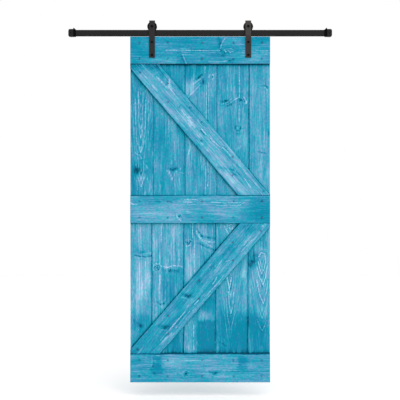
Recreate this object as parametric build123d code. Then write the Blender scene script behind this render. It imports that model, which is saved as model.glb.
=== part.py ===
from build123d import *
import os
from math import cos, hypot, pi, radians, sin, tan

# Sliding barn door on a face-mounted flat track.
# Frame: X to the right seen from the room, +Y into the wall, +Z up.
# Origin: wall plane, on the line of the wall fixings, half-way along the track.
# All lengths in millimetres.

# ---------------------------------------------------------------- driving dimensions
# door leaf
DOOR_W = 863.6            # 34 in
DOOR_H = 2133.6           # 84 in
PLANK_T = 18.0            # tongue-and-groove boards
RAIL_T = 17.0             # rails and braces laid on the boards
TOP_RAIL_H = 166.5        # heights of the three rails
MID_RAIL_H = 172.0
BOT_RAIL_H = 175.0
MID_RAIL_UP = 1.3         # centre of the middle rail above the door's mid-height
BRACE_W = 156.0           # width of the two diagonal braces
WALL_GAP = 12.0           # free space between the boards and the wall
TOP_GAP = 3.5             # door top to the underside of the track

# boards: seam positions, upper row and lower row
UPPER_SEAMS = (-290.4, -94.2, 101.7, 302.9)
LOWER_SEAMS = (-299.5, -102.6, 95.8, 295.1)
SEAM_GAP = 0.4            # face-to-face gap between two boards
VEE = 4.0                 # chamfer on each side of a seam
TONGUE_T, TONGUE_L = 6.0, 8.0
GROOVE_T, GROOVE_L = 6.6, 8.7
BUTT_GAP = 0.6            # gap between upper and lower boards behind the middle rail

# braces: slope of each (rise over run) and one point on its outer edge
UP_SLOPE, UP_X = 1.1768, -254.2     # outer edge leaves the top rail here
LO_SLOPE, LO_X = 1.1535, -247.5     # outer edge leaves the bottom rail here
JOINT = 0.5               # scribe gap where a brace end meets a rail

# track
TRACK_H, TRACK_T = 40.0, 6.0
TRACK_HALF = 810.5        # half length of the bar
SPACER_L, SPACER_R = 32.0, 9.0
FIX_X = (-609.6, -203.2, 203.2, 609.6)   # 16 in pitch

# wheels and hangers
AXLE_X = 297.0
WHEEL_R, WHEEL_W = 30.0, 18.0
ROOT_R = 19.7             # groove bottom, 0.3 clear of the track's top edge
ROLL_R = 20.0             # rolling radius
GROOVE_HALF = 4.0         # half width of the groove at its bottom
FLANK = 8.0               # degrees
STRAP_W, STRAP_T = 35.0, 5.0
STRAP_IN = 24.0           # inside width of the hook
STRAP_TOP = 73.3          # inside of the bend above the fixing line
BEND_R = 10.0             # inside radius of the two bends
STRAP_BOT = -153.2
LEG_BOT = 25.0            # end of the rear leg
BOLT_Z = (-57.8, -137.5)

# ball bearing, 10 x 26 x 8
BRG_BORE, BRG_OD, BRG_W = 5.0, 13.0, 8.0
BALL_R, PITCH_R, RACE_R = 2.35, 9.0, 2.45
BALLS = 7

# end stops
STOP_IN, STOP_OUT = 783.5, 814.0
STOP_Z0, STOP_Z1 = -22.5, 24.0
BUMP_IN = 769.0
BUMP_Z0, BUMP_PEAK, BUMP_LOW = -22.0, 32.4, 22.5

# wood screws
WS_HEAD, WS_SHANK, WS_LEN, WS_CONE = 3.75, 2.0, 30.0, 2.4

# ---------------------------------------------------------------- derived planes
Y_BACK = -WALL_GAP                     # back of the boards
Y_BOARD = Y_BACK - PLANK_T             # front of the boards, back of the rails
Y_FRONT = Y_BOARD - RAIL_T             # front of the rails, back of the straps
Y_STRAP = Y_FRONT - STRAP_T            # front of the straps
Y_AXIS = Y_FRONT + STRAP_IN / 2        # centre plane of wheels and track
Y_T0, Y_T1 = Y_AXIS - TRACK_T / 2, Y_AXIS + TRACK_T / 2
Z_TOP = -TRACK_H / 2 - TOP_GAP         # door top
Z_BOT = Z_TOP - DOOR_H                 # door bottom
Z_AXLE = TRACK_H / 2 + ROLL_R
XH = DOOR_W / 2
ZR_TOP = Z_TOP - TOP_RAIL_H            # lower edge of the top rail
Z_MID = Z_BOT + DOOR_H / 2             # the two rows of boards meet here
ZM1, ZM0 = Z_MID + MID_RAIL_UP + MID_RAIL_H / 2, Z_MID + MID_RAIL_UP - MID_RAIL_H / 2
ZR_BOT = Z_BOT + BOT_RAIL_H            # upper edge of the bottom rail

os.makedirs("parts", exist_ok=True)
OUT = {}


def save(name, shape):
    solids = shape.solids() if not isinstance(shape, list) else [s for x in shape for s in x.solids()]
    body = solids[0] if len(solids) == 1 else Compound(children=list(solids))
    export_step(body, "parts/%s.step" % name)
    OUT[name] = body
    return body


def block(x0, x1, y0, y1, z0, z1):
    return Pos((x0 + x1) / 2, (y0 + y1) / 2, (z0 + z1) / 2) * Box(x1 - x0, y1 - y0, z1 - z0)


def prism_z(points, z0, z1):
    """Polygon in X-Y pushed up from z0 to z1."""
    face = make_face(Polyline(*points, close=True))
    return extrude(Pos(0, 0, z0) * face, z1 - z0, dir=(0, 0, 1))


def prism_y(points, y0, y1):
    """Polygon in X-Z pushed from y0 to y1."""
    line = Polyline(*[(x, y0, z) for x, z in points], close=True)
    return extrude(make_face(line), y1 - y0, dir=(0, 1, 0))


def prism_x(points, x0, x1):
    """Polygon in Y-Z pushed from x0 to x1."""
    line = Polyline(*[(x0, y, z) for y, z in points], close=True)
    return extrude(make_face(line), x1 - x0, dir=(1, 0, 0))


def turned_y(profile, x, y, z):
    """Profile of (radius, distance along Y) turned about the Y line through x, y, z."""
    line = Polyline(*[(r, 0, a) for r, a in profile], close=True)
    ring = revolve(make_face(line), Axis.Z, 360)
    return Pos(x, y, z) * Rot(-90, 0, 0) * ring


def turned_z(profile, x, y, z):
    line = Polyline(*[(r, 0, a) for r, a in profile], close=True)
    return Pos(x, y, z) * revolve(make_face(line), Axis.Z, 360)


def rod_y(r, y0, y1, x, z):
    return Pos(x, (y0 + y1) / 2, z) * Rot(90, 0, 0) * Cylinder(r, y1 - y0)


def hex_y(af, y0, y1, x, z, turn=0.0):
    """Hexagon bar along Y with the given width across flats."""
    r = af / 2 / cos(radians(30))
    pts = [(x + r * cos(radians(60 * i + turn)), z + r * sin(radians(60 * i + turn))) for i in range(6)]
    return prism_y(pts, y0, y1)


# ---------------------------------------------------------------- boards
def board(x0, x1, z0, z1, left, right):
    """One tongue-and-groove board. left / right: True where a neighbour joins."""
    yf, yb = Y_BOARD, Y_BACK
    ym = (yf + yb) / 2
    xl = x0 + (SEAM_GAP / 2 if left else 0)
    xr = x1 - (SEAM_GAP / 2 if right else 0)
    cl, cr = (VEE if left else 1.0), (VEE if right else 1.0)
    pts = [(xl + cl, yf), (xr - cr, yf), (xr, yf + cr)]
    if right:
        pts += [(xr, ym - TONGUE_T / 2), (xr + TONGUE_L - 0.8, ym - TONGUE_T / 2), (xr + TONGUE_L, ym - TONGUE_T / 2 + 0.8),
                (xr + TONGUE_L, ym + TONGUE_T / 2 - 0.8), (xr + TONGUE_L - 0.8, ym + TONGUE_T / 2), (xr, ym + TONGUE_T / 2)]
    pts += [(xr, yb), (xl, yb)]
    if left:
        pts += [(xl, ym + GROOVE_T / 2), (xl + GROOVE_L, ym + GROOVE_T / 2), (xl + GROOVE_L, ym - GROOVE_T / 2), (xl, ym - GROOVE_T / 2)]
    pts += [(xl, yf + cl)]
    return prism_z(pts, z0, z1)


def boards(seams, z0, z1):
    xs = (-XH,) + tuple(seams) + (XH,)
    return [board(xs[i], xs[i + 1], z0, z1, i > 0, i < 4) for i in range(5)]


upper = boards(UPPER_SEAMS, Z_MID + BUTT_GAP / 2, Z_TOP)
lower = boards(LOWER_SEAMS, Z_BOT, Z_MID - BUTT_GAP / 2)

# ---------------------------------------------------------------- rails and braces
EDGE = 1.6                # eased front edges


def eased(solid):
    """Chamfers the front edges of a flat board."""
    front = solid.edges().filter_by(lambda e: abs(e.center().Y - Y_FRONT) < 1e-4)
    return chamfer(front, EDGE)


top_rail = eased(block(-XH, XH, Y_FRONT, Y_BOARD, ZR_TOP, Z_TOP))
middle_rail = eased(block(-XH, XH, Y_FRONT, Y_BOARD, ZM0, ZM1))
bottom_rail = eased(block(-XH, XH, Y_FRONT, Y_BOARD, Z_BOT, ZR_BOT))


def up_outer(z):          # x of the upper brace's outer (right) edge at height z
    return UP_X + (ZR_TOP - z) / UP_SLOPE


def lo_outer(z):          # x of the lower brace's outer (right) edge at height z
    return LO_X + (z - ZR_BOT) / LO_SLOPE


up_w = BRACE_W * hypot(1, UP_SLOPE) / UP_SLOPE        # horizontal width
lo_w = BRACE_W * hypot(1, LO_SLOPE) / LO_SLOPE
zt, zm = ZR_TOP - JOINT, ZM1 + JOINT
upper_brace = eased(prism_y([
    (-XH, zt), (up_outer(zt), zt),
    (XH, ZR_TOP - (XH - UP_X) * UP_SLOPE), (XH, zm),
    (up_outer(zm) - up_w, zm),
    (-XH, ZR_TOP - (-XH + up_w - UP_X) * UP_SLOPE)], Y_FRONT, Y_BOARD))
zm, zb = ZM0 - JOINT, ZR_BOT + JOINT
lower_brace = eased(prism_y([
    (-XH, zb), (lo_outer(zb), zb),
    (XH, ZR_BOT + (XH - LO_X) * LO_SLOPE), (XH, zm),
    (lo_outer(zm) - lo_w, zm),
    (-XH, ZR_BOT + (-XH + lo_w - LO_X) * LO_SLOPE)], Y_FRONT, Y_BOARD))

# ---------------------------------------------------------------- wood screws
COLS = (-374.6, -200.0, 11.6, 205.4, 380.5)


def screw_rows(z0, z1):
    return [(x, z) for z in (z0, z1) for x in COLS]


def zb_(v):               # height above the door bottom
    return Z_BOT + v


SCREWS = {
    "top_rail": screw_rows(zb_(1996.6), zb_(2095.6)),
    "middle_rail": screw_rows(zb_(1017.3), zb_(1116.3)),
    "bottom_rail": screw_rows(zb_(38), zb_(137)),
    "upper_brace": [(-372.1, zb_(1912)), (-197.6, zb_(1845)), (-197.6, zb_(1731)), (9.0, zb_(1605)), (9.0, zb_(1493)),
                    (200.4, zb_(1391)), (200.4, zb_(1279)), (389.8, zb_(1179))],
    "lower_brace": [(375.0, zb_(935)), (201.7, zb_(864)), (201.7, zb_(753)), (-6.3, zb_(629)), (-6.3, zb_(516)),
                    (-197.0, zb_(411)), (-197.0, zb_(300)), (-385.1, zb_(202))],
}


def wood_screw(x, z):
    """Countersunk wood screw, head flush with the face, cross recess."""
    s = turned_y([(0, 0), (WS_HEAD, 0), (WS_HEAD, 0.5), (WS_SHANK, WS_CONE), (WS_SHANK, WS_LEN - 5), (0.3, WS_LEN), (0, WS_LEN)], x, Y_FRONT, z)
    s -= block(x - 2.1, x + 2.1, Y_FRONT - 1, Y_FRONT + 1.5, z - 0.45, z + 0.45)
    s -= block(x - 0.45, x + 0.45, Y_FRONT - 1, Y_FRONT + 1.5, z - 2.1, z + 2.1)
    return s


def sink(x, z):
    """Countersunk clearance hole through a rail or brace."""
    return turned_y([(0, -1), (WS_HEAD + 0.05, -1), (WS_HEAD + 0.05, 0.55), (WS_SHANK + 0.1, WS_CONE + 0.05), (WS_SHANK + 0.1, RAIL_T + 1), (0, RAIL_T + 1)], x, Y_FRONT, z)


def pilot(x, z):
    """Blind hole in a board for the end of a wood screw."""
    end = WS_LEN + 0.4
    return turned_y([(0, RAIL_T - 1), (WS_SHANK + 0.05, RAIL_T - 1), (WS_SHANK + 0.05, end), (0, end)], x, Y_FRONT, z)


faces = {"top_rail": top_rail, "middle_rail": middle_rail, "bottom_rail": bottom_rail, "upper_brace": upper_brace, "lower_brace": lower_brace}
for key in list(faces):
    holes = [sink(x, z) for x, z in SCREWS[key]]
    faces[key] = faces[key] - holes
    save(key + "_screws", [wood_screw(x, z) for x, z in SCREWS[key]])


def bored(row, z0, z1):
    """Pilot holes in the boards of one row."""
    out = []
    for b in row:
        box = b.bounding_box()
        cut = [pilot(x, z) for pts in SCREWS.values() for x, z in pts
               if box.min.X + 4 < x < box.max.X - 12 + 8 and z0 < z < z1]
        out.append(b - cut if cut else b)
    return out


upper = bored(upper, Z_MID, Z_TOP)
lower = bored(lower, Z_BOT, Z_MID)

# ---------------------------------------------------------------- hangers
HOOK_O = BEND_R + STRAP_T


def hook_outline():
    """Outline of the bent bar in Y-Z."""
    y0, y1 = Y_STRAP, Y_FRONT                     # front leg
    y2, y3 = Y_FRONT + STRAP_IN, Y_FRONT + STRAP_IN + STRAP_T   # rear leg
    zc = STRAP_TOP - BEND_R
    ya, yb = y1 + BEND_R, y2 - BEND_R
    k = sin(radians(45))

    def p(y, z):
        return Vector(0, y, z)

    edges = [
        Line(p(y0, STRAP_BOT), p(y0, zc)),
        ThreePointArc(p(y0, zc), p(ya - HOOK_O * k, zc + HOOK_O * k), p(ya, zc + HOOK_O)),
        Line(p(ya, zc + HOOK_O), p(yb, zc + HOOK_O)),
        ThreePointArc(p(yb, zc + HOOK_O), p(yb + HOOK_O * k, zc + HOOK_O * k), p(y3, zc)),
        Line(p(y3, zc), p(y3, LEG_BOT)),
        Line(p(y3, LEG_BOT), p(y2, LEG_BOT)),
        Line(p(y2, LEG_BOT), p(y2, zc)),
        ThreePointArc(p(y2, zc), p(yb + BEND_R * k, zc + BEND_R * k), p(yb, zc + BEND_R)),
        Line(p(yb, zc + BEND_R), p(ya, zc + BEND_R)),
        ThreePointArc(p(ya, zc + BEND_R), p(ya - BEND_R * k, zc + BEND_R * k), p(y1, zc)),
        Line(p(y1, zc), p(y1, STRAP_BOT)),
        Line(p(y1, STRAP_BOT), p(y0, STRAP_BOT)),
    ]
    return make_face(Wire(edges))


def hanger(x):
    s = Pos(x - STRAP_W / 2, 0, 0) * extrude(hook_outline(), STRAP_W, dir=(1, 0, 0))
    for z in BOLT_Z:          # countersunk holes for the door bolts
        s -= turned_y([(0, -1), (8.0, -1), (8.0, 0.25), (4.2, 4.05), (4.2, STRAP_T + 1), (0, STRAP_T + 1)], x, Y_STRAP, z)
    s -= rod_y(5.1, Y_STRAP - 2, Y_FRONT + STRAP_IN + STRAP_T + 2, x, Z_AXLE)
    return s


def door_bolt(x, z):
    """M8 countersunk socket bolt through strap, rail and board."""
    s = turned_y([(0, 0), (7.9, 0), (7.9, 0.25), (4.0, 4.15), (4.0, 47.5), (3.4, 48.3), (0, 48.3)], x, Y_STRAP, z)
    return s - hex_y(5.0, Y_STRAP - 1, Y_STRAP + 3.2, x, z, 30)


def door_nut(x, z):
    """M8 nut behind the washer."""
    y0 = Y_BACK + 1.6
    s = hex_y(13.0, y0, y0 + 5.6, x, z, 30)
    s &= turned_y([(0, 0), (6.6, 0), (7.5, 0.9), (7.5, 4.7), (6.6, 5.6), (0, 5.6)], x, y0, z)
    return s - rod_y(4.02, y0 - 1, y0 + 8, x, z)


hangers = {"left": hanger(-AXLE_X), "right": hanger(AXLE_X)}
for side, s in hangers.items():
    save("hanger_" + side, s)
spots = [(x, z) for x in (-AXLE_X, AXLE_X) for z in BOLT_Z]
save("hanger_bolts", [door_bolt(x, z) for x, z in spots])
save("hanger_washers", [rod_y(9.5, Y_BACK, Y_BACK + 1.6, x, z) - rod_y(4.2, Y_BACK - 1, Y_BACK + 3, x, z) for x, z in spots])
save("hanger_nuts", [door_nut(x, z) for x, z in spots])
through = [rod_y(4.3, Y_FRONT - 1, Y_BACK + 1, x, z) for x, z in spots]
faces["top_rail"] = faces["top_rail"] - through
upper = [b - [h for h, (x, z) in zip(through, spots) if b.bounding_box().min.X < x + 4.5 and b.bounding_box().max.X > x - 4.5] for b in upper]

for key, s in faces.items():
    save(key, s)

# ---------------------------------------------------------------- anti-jump discs on the door's top edge
DISC_X, DISC_R, DISC_T, DISC_Y, DISC_HOLE_Y = AXLE_X, 16.0, 2.0, -30.0, -21.0   # one behind each hanger


def disc(x):
    s = Pos(x, DISC_Y, Z_TOP + DISC_T / 2) * Cylinder(DISC_R, DISC_T)
    return s - turned_z([(0, -1), (2.15, -1), (2.15, 0.25), (3.95, DISC_T - 0.05), (3.95, DISC_T + 1), (0, DISC_T + 1)], x, DISC_HOLE_Y, Z_TOP)


def disc_screw(x):
    s = turned_z([(0, DISC_T), (3.85, DISC_T), (2.0, 0.15), (2.0, -20), (0.3, -25), (0, -25)], x, DISC_HOLE_Y, Z_TOP)
    s -= block(x - 2.0, x + 2.0, DISC_HOLE_Y - 0.45, DISC_HOLE_Y + 0.45, Z_TOP + DISC_T - 1.3, Z_TOP + DISC_T + 1)
    s -= block(x - 0.45, x + 0.45, DISC_HOLE_Y - 2.0, DISC_HOLE_Y + 2.0, Z_TOP + DISC_T - 1.3, Z_TOP + DISC_T + 1)
    return s


save("anti_jump_discs", [disc(x) for x in (-DISC_X, DISC_X)])
save("anti_jump_screws", [disc_screw(x) for x in (-DISC_X, DISC_X)])
for i, x in ((0, -DISC_X), (3, DISC_X)):
    upper[i] = upper[i] - Pos(x, DISC_HOLE_Y, Z_TOP - 12.2) * Cylinder(2.05, 26.4)

for i, s in enumerate(upper):
    save("upper_board_%d" % (i + 1), s)
for i, s in enumerate(lower):
    save("lower_board_%d" % (i + 1), s)

# ---------------------------------------------------------------- axles
HEAD_T = 3.5


def axle_bolt(x):
    """M10 bolt with a low socket head, through both legs of the hook."""
    y0 = Y_STRAP - HEAD_T
    s = turned_y([(0, 0), (6.6, 0), (8.0, 1.2), (8.0, HEAD_T), (5.0, HEAD_T), (5.0, HEAD_T + 39.6), (4.3, HEAD_T + 40.4), (0, HEAD_T + 40.4)], x, y0, Z_AXLE)
    return s - hex_y(6.0, y0 - 1, y0 + 4.5, x, Z_AXLE, 30)


def axle_nut(x):
    y0 = Y_FRONT + STRAP_IN + STRAP_T
    s = hex_y(17.0, y0, y0 + 5.0, x, Z_AXLE, 30)
    s &= turned_y([(0, 0), (8.6, 0), (9.8, 1.0), (9.8, 4.0), (8.6, 5.0), (0, 5.0)], x, y0, Z_AXLE)
    return s - rod_y(5.02, y0 - 1, y0 + 8, x, Z_AXLE)


def axle_spacer(x, y0, y1):
    return rod_y(6.8, y0, y1, x, Z_AXLE) - rod_y(5.05, y0 - 1, y1 + 1, x, Z_AXLE)


save("axle_bolts", [axle_bolt(x) for x in (-AXLE_X, AXLE_X)])
save("axle_nuts", [axle_nut(x) for x in (-AXLE_X, AXLE_X)])
hb = BRG_W / 2
save("axle_spacers", [axle_spacer(x, a, b) for x in (-AXLE_X, AXLE_X)
                      for a, b in ((Y_FRONT, Y_AXIS - hb), (Y_AXIS + hb, Y_FRONT + STRAP_IN))])


# ---------------------------------------------------------------- bearings and wheels
def race(x):
    """The ring-shaped space the balls run in."""
    return Pos(x, Y_AXIS, Z_AXLE) * Rot(90, 0, 0) * Torus(PITCH_R, RACE_R)


def inner_ring(x):
    s = turned_y([(5.05, -hb), (6.8, -hb), (7.0, -hb + 0.3), (7.0, hb - 0.3), (6.8, hb), (5.05, hb)], x, Y_AXIS, Z_AXLE)
    return s - race(x)


def outer_ring(x):
    s = turned_y([(11.0, -hb + 0.3), (11.2, -hb), (12.7, -hb), (BRG_OD, -hb + 0.3), (BRG_OD, hb - 0.3), (12.7, hb), (11.2, hb), (11.0, hb - 0.3)], x, Y_AXIS, Z_AXLE)
    return s - race(x)


def ball_spots(x):
    return [(x + PITCH_R * sin(2 * pi * i / BALLS), Z_AXLE + PITCH_R * cos(2 * pi * i / BALLS)) for i in range(BALLS)]


def cage(x):
    """Snap cage: a ring behind the balls with fingers between them."""
    s = turned_y([(8.1, -1.5), (9.9, -1.5), (9.9, 3.4), (8.1, 3.4)], x, Y_AXIS, Z_AXLE)
    pockets = [Pos(a, Y_AXIS, b) * Rot(0, 360 * i / BALLS, 0) * Cylinder(RACE_R, 4) for i, (a, b) in enumerate(ball_spots(x))]
    return s - pockets


def wheel(x):
    """Grooved wheel turned from one piece."""
    w, g, r = WHEEL_W / 2, GROOVE_HALF, WHEEL_R
    out = g + (r - ROOT_R) * tan(radians(FLANK))
    prof = [
        (11.8, -w), (15.5, -w), (16.0, -w + 1.2), (24.5, -w + 1.2), (25.0, -w), (r - 1.2, -w), (r, -w + 1.2),
        (r, -out - 0.6), (r - 0.6, -out), (ROOT_R, -g), (ROOT_R, g), (r - 0.6, out), (r, out + 0.6),
        (r, w - 1.2), (r - 1.2, w), (25.0, w), (24.5, w - 1.2), (16.0, w - 1.2), (15.5, w), (13.6, w),
        (13.6, hb + 0.4), (BRG_OD + 0.02, hb + 0.4), (BRG_OD + 0.02, -hb), (11.8, -hb)]
    return turned_y(prof, x, Y_AXIS, Z_AXLE)


save("bearing_inner_rings", [inner_ring(x) for x in (-AXLE_X, AXLE_X)])
for side, x in (("left", -AXLE_X), ("right", AXLE_X)):
    save("wheel_" + side, wheel(x))
    save("bearing_outer_ring_" + side, outer_ring(x))
    save("bearing_cage_" + side, cage(x))
    save("bearing_balls_" + side, [Pos(a, Y_AXIS, b) * Sphere(BALL_R) for a, b in ball_spots(x)])

# ---------------------------------------------------------------- track
track = block(-TRACK_HALF, TRACK_HALF, Y_T0, Y_T1, -TRACK_H / 2, TRACK_H / 2)
track = chamfer(track.edges().filter_by(Axis.X), 0.8)
for x in FIX_X:
    track -= turned_y([(0, -1), (7.6, -1), (7.6, 0.2), (3.8, 4.0), (3.8, TRACK_T + 1), (0, TRACK_T + 1)], x, Y_T0, 0)
save("track_rail", track)
save("wall_spacers", [rod_y(SPACER_R, -SPACER_L, 0, x, 0) - rod_y(4.25, -SPACER_L - 1, 1, x, 0) for x in FIX_X])


def lag_screw(x):
    """M8 countersunk lag screw: thin shank through the spacer, full thread in the wall."""
    s = turned_y([(0, 0), (7.5, 0), (7.5, 0.2), (3.5, 4.2), (3.5, -Y_T0), (4.0, -Y_T0), (4.0, -Y_T0 + 42), (0.5, -Y_T0 + 50), (0, -Y_T0 + 50)], x, Y_T0, 0)
    return s - hex_y(5.0, Y_T0 - 1, Y_T0 + 3.0, x, 0, 30)


save("wall_lag_screws", [lag_screw(x) for x in FIX_X])


# ---------------------------------------------------------------- end stops
def mirrored(points, sign):
    return [(sign * a, b) for a, b in points]


def end_stop(sign):
    """Steel cap that slides over the end of the bar."""
    c = 9.0
    k = c * (1 - sin(radians(45)))
    pts = [(STOP_IN, STOP_Z0), (STOP_OUT - c, STOP_Z0), (STOP_OUT - k, STOP_Z0 + k), (STOP_OUT, STOP_Z0 + c),
           (STOP_OUT, STOP_Z1 - c), (STOP_OUT - k, STOP_Z1 - k), (STOP_OUT - c, STOP_Z1), (STOP_IN, STOP_Z1)]
    y0, y1 = Y_AXIS - 12, Y_AXIS + 12
    s = prism_y(mirrored(pts, sign), y0, y1)
    s = chamfer(s.edges().filter_by(lambda e: abs(e.center().Y - y0) < 1e-4 or abs(e.center().Y - y1) < 1e-4), 1.2)
    a, b = sorted((sign * (STOP_IN - 1), sign * (TRACK_HALF + 0.2)))
    s -= block(a, b, Y_T0 - 0.1, Y_T1 + 0.1, -TRACK_H / 2 - 0.1, TRACK_H / 2 + 0.1)
    return s - rod_y(3.05, y0 - 1, Y_T0, sign * (STOP_IN + STOP_OUT) / 2, 1.0)


def set_screw(sign):
    x, y0 = sign * (STOP_IN + STOP_OUT) / 2, Y_AXIS - 11.2
    s = turned_y([(0, 0), (2.6, 0), (3.0, 0.4), (3.0, Y_T0 - y0 - 0.5), (2.5, Y_T0 - y0), (0, Y_T0 - y0)], x, y0, 1.0)
    return s - hex_y(3.0, y0 - 1, y0 + 3, x, 1.0, 30)


def bumper(sign):
    """Rubber pad against the cap, its top sloping down to the wheel side."""
    pts = [(BUMP_IN + 1, BUMP_Z0), (STOP_IN, BUMP_Z0), (STOP_IN, BUMP_PEAK - 1), (STOP_IN - 1.2, BUMP_PEAK), (STOP_IN - 2.6, BUMP_PEAK - 0.4),
           (BUMP_IN + 0.6, BUMP_LOW + 0.5), (BUMP_IN, BUMP_LOW - 0.6), (BUMP_IN, BUMP_Z0 + 1)]
    s = prism_y(mirrored(pts, sign), Y_AXIS - 10, Y_AXIS + 10)
    s = chamfer(s.edges().filter_by(lambda e: abs(abs(e.center().Y - Y_AXIS) - 10) < 1e-4 and abs(e.center().X) < STOP_IN - 0.01), 0.9)
    a, b = sorted((sign * (BUMP_IN - 1), sign * (STOP_IN + 1)))
    return s - block(a, b, Y_T0 - 0.1, Y_T1 + 0.1, -TRACK_H / 2 - 0.1, TRACK_H / 2 + 0.1)


for side, sign in (("left", -1), ("right", 1)):
    save("end_stop_" + side, end_stop(sign))
    save("stop_bumper_" + side, bumper(sign))
save("stop_set_screws", [set_screw(-1), set_screw(1)])
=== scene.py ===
import math

import bpy
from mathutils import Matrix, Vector


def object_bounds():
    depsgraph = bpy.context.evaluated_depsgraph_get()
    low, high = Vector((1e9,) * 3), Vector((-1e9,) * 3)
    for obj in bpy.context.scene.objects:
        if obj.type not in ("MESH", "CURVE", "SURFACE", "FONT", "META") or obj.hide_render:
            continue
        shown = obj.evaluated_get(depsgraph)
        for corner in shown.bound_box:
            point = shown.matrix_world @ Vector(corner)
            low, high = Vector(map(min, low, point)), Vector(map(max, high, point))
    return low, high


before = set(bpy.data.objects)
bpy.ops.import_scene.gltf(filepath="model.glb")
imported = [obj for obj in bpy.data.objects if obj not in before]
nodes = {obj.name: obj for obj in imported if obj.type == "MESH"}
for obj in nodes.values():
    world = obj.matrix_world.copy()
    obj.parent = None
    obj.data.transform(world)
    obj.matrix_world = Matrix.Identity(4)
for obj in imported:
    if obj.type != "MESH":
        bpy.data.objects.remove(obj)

cad_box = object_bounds()
scene = bpy.context.scene
scene.view_settings.view_transform = "Standard"
scene.view_settings.look = "None"


# ------------------------------------------------------------------ camera
# The picture's frame is 400 x 400; one pixel is 6.17 mm at the front of the rails.
MM = 6.17
DIST = 5.2
cam = bpy.data.cameras.new("camera")
cam.sensor_width = 36.0
cam.lens = 36.0 * DIST / (0.4 * MM)
cam.clip_start, cam.clip_end = 0.05, 60.0
cam_ob = bpy.data.objects.new("camera", cam)
scene.collection.objects.link(cam_ob)
cam_ob.location = (-0.0010, -0.047 - DIST, -1.0316)
cam_ob.rotation_euler = (math.radians(90), 0, 0)
scene.camera = cam_ob


# ------------------------------------------------------------------ node graphs
def rgb(r, g, b):
    """Display colour 0-255 to scene linear."""
    out = []
    for c in (r, g, b):
        c = c / 255.0
        out.append(c / 12.92 if c <= 0.04045 else ((c + 0.055) / 1.055) ** 2.4)
    return (out[0], out[1], out[2], 1.0)


class Num:
    """A number that varies over the surface, with arithmetic."""

    def __init__(self, g, out):
        self.g, self.out = g, out

    def __add__(self, o): return self.g.math("ADD", self, o)
    def __radd__(self, o): return self.g.math("ADD", self, o)
    def __sub__(self, o): return self.g.math("SUBTRACT", self, o)
    def __rsub__(self, o): return self.g.math("SUBTRACT", o, self)
    def __mul__(self, o): return self.g.math("MULTIPLY", self, o)
    def __rmul__(self, o): return self.g.math("MULTIPLY", self, o)
    def __truediv__(self, o): return self.g.math("DIVIDE", self, o)
    def __neg__(self): return self.g.math("MULTIPLY", self, -1.0)


class Nodes:
    """Puts nodes into one tree."""

    def __init__(self, tree):
        self.tree = tree

    def put(self, kind, **props):
        n = self.tree.nodes.new(kind)
        for k, v in props.items():
            setattr(n, k, v)
        return n

    def plug(self, value, socket):
        if isinstance(value, Num):
            self.tree.links.new(value.out, socket)
        elif isinstance(value, bpy.types.NodeSocket):
            self.tree.links.new(value, socket)
        else:
            socket.default_value = value

    def use(self, group, **values):
        n = self.put("ShaderNodeGroup", node_tree=group)
        for k, v in values.items():
            self.plug(v, n.inputs[k])
        outs = [Num(self, o) for o in n.outputs]
        return outs[0] if len(outs) == 1 else outs

    def math(self, op, a, b=None, c=None, clamp=False):
        n = self.put("ShaderNodeMath", operation=op, use_clamp=clamp)
        for s, v in zip(n.inputs, (a, b, c)):
            if v is not None:
                self.plug(v, s)
        return Num(self, n.outputs[0])

    def mad(self, a, b, c, clamp=False):
        return self.math("MULTIPLY_ADD", a, b, c, clamp)

    def absolute(self, a): return self.math("ABSOLUTE", a)
    def minimum(self, a, b): return self.math("MINIMUM", a, b)
    def maximum(self, a, b): return self.math("MAXIMUM", a, b)
    def clamp(self, a): return self.math("ADD", a, 0.0, clamp=True)

    def dot(self, vec, v):
        n = self.put("ShaderNodeVectorMath", operation="DOT_PRODUCT")
        self.plug(vec, n.inputs[0])
        n.inputs[1].default_value = v
        return Num(self, n.outputs["Value"])

    def vec(self, x, y, z):
        n = self.put("ShaderNodeCombineXYZ")
        for s, v in zip(n.inputs, (x, y, z)):
            self.plug(v, s)
        return n.outputs[0]

    def split(self, vec):
        n = self.put("ShaderNodeSeparateXYZ")
        self.plug(vec, n.inputs[0])
        return [Num(self, o) for o in n.outputs]

    def noise(self, vec, scale=1.0, detail=2.0, rough=0.5, distort=0.0, colour=False):
        n = self.put("ShaderNodeTexNoise", noise_dimensions="3D")
        self.plug(vec, n.inputs["Vector"])
        n.inputs["Scale"].default_value = scale
        n.inputs["Detail"].default_value = detail
        n.inputs["Roughness"].default_value = rough
        n.inputs["Distortion"].default_value = distort
        if colour:
            return self.split(n.outputs["Color"])
        return Num(self, n.outputs[0])

    def smooth(self, x, a, b, lo=0.0, hi=1.0):
        n = self.put("ShaderNodeMapRange", interpolation_type="SMOOTHSTEP")
        self.plug(x, n.inputs["Value"])
        for key, v in (("From Min", a), ("From Max", b), ("To Min", lo), ("To Max", hi)):
            self.plug(v, n.inputs[key])
        return Num(self, n.outputs["Result"])

    def gauss(self, d2):
        """exp(-d2)"""
        return self.math("EXPONENT", d2 * -1.0)

    def ramp(self, x, stops):
        n = self.put("ShaderNodeValToRGB")
        self.plug(x, n.inputs["Fac"])
        e = n.color_ramp.elements
        while len(e) < len(stops):
            e.new(0.5)
        for el, (p, c) in zip(e, stops):
            el.position = p
            el.color = c
        return n.outputs["Color"]

    def mix(self, fac, a, b, mode="MIX"):
        n = self.put("ShaderNodeMix", data_type="RGBA", blend_type=mode)
        self.plug(fac, n.inputs[0])
        self.plug(a, n.inputs[6])
        self.plug(b, n.inputs[7])
        return n.outputs[2]

    def bump(self, height, distance, strength=1.0, under=None):
        n = self.put("ShaderNodeBump")
        n.inputs["Strength"].default_value = strength
        n.inputs["Distance"].default_value = distance
        self.plug(height, n.inputs["Height"])
        if under is not None:
            self.plug(under, n.inputs["Normal"])
        return n.outputs[0]


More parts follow.
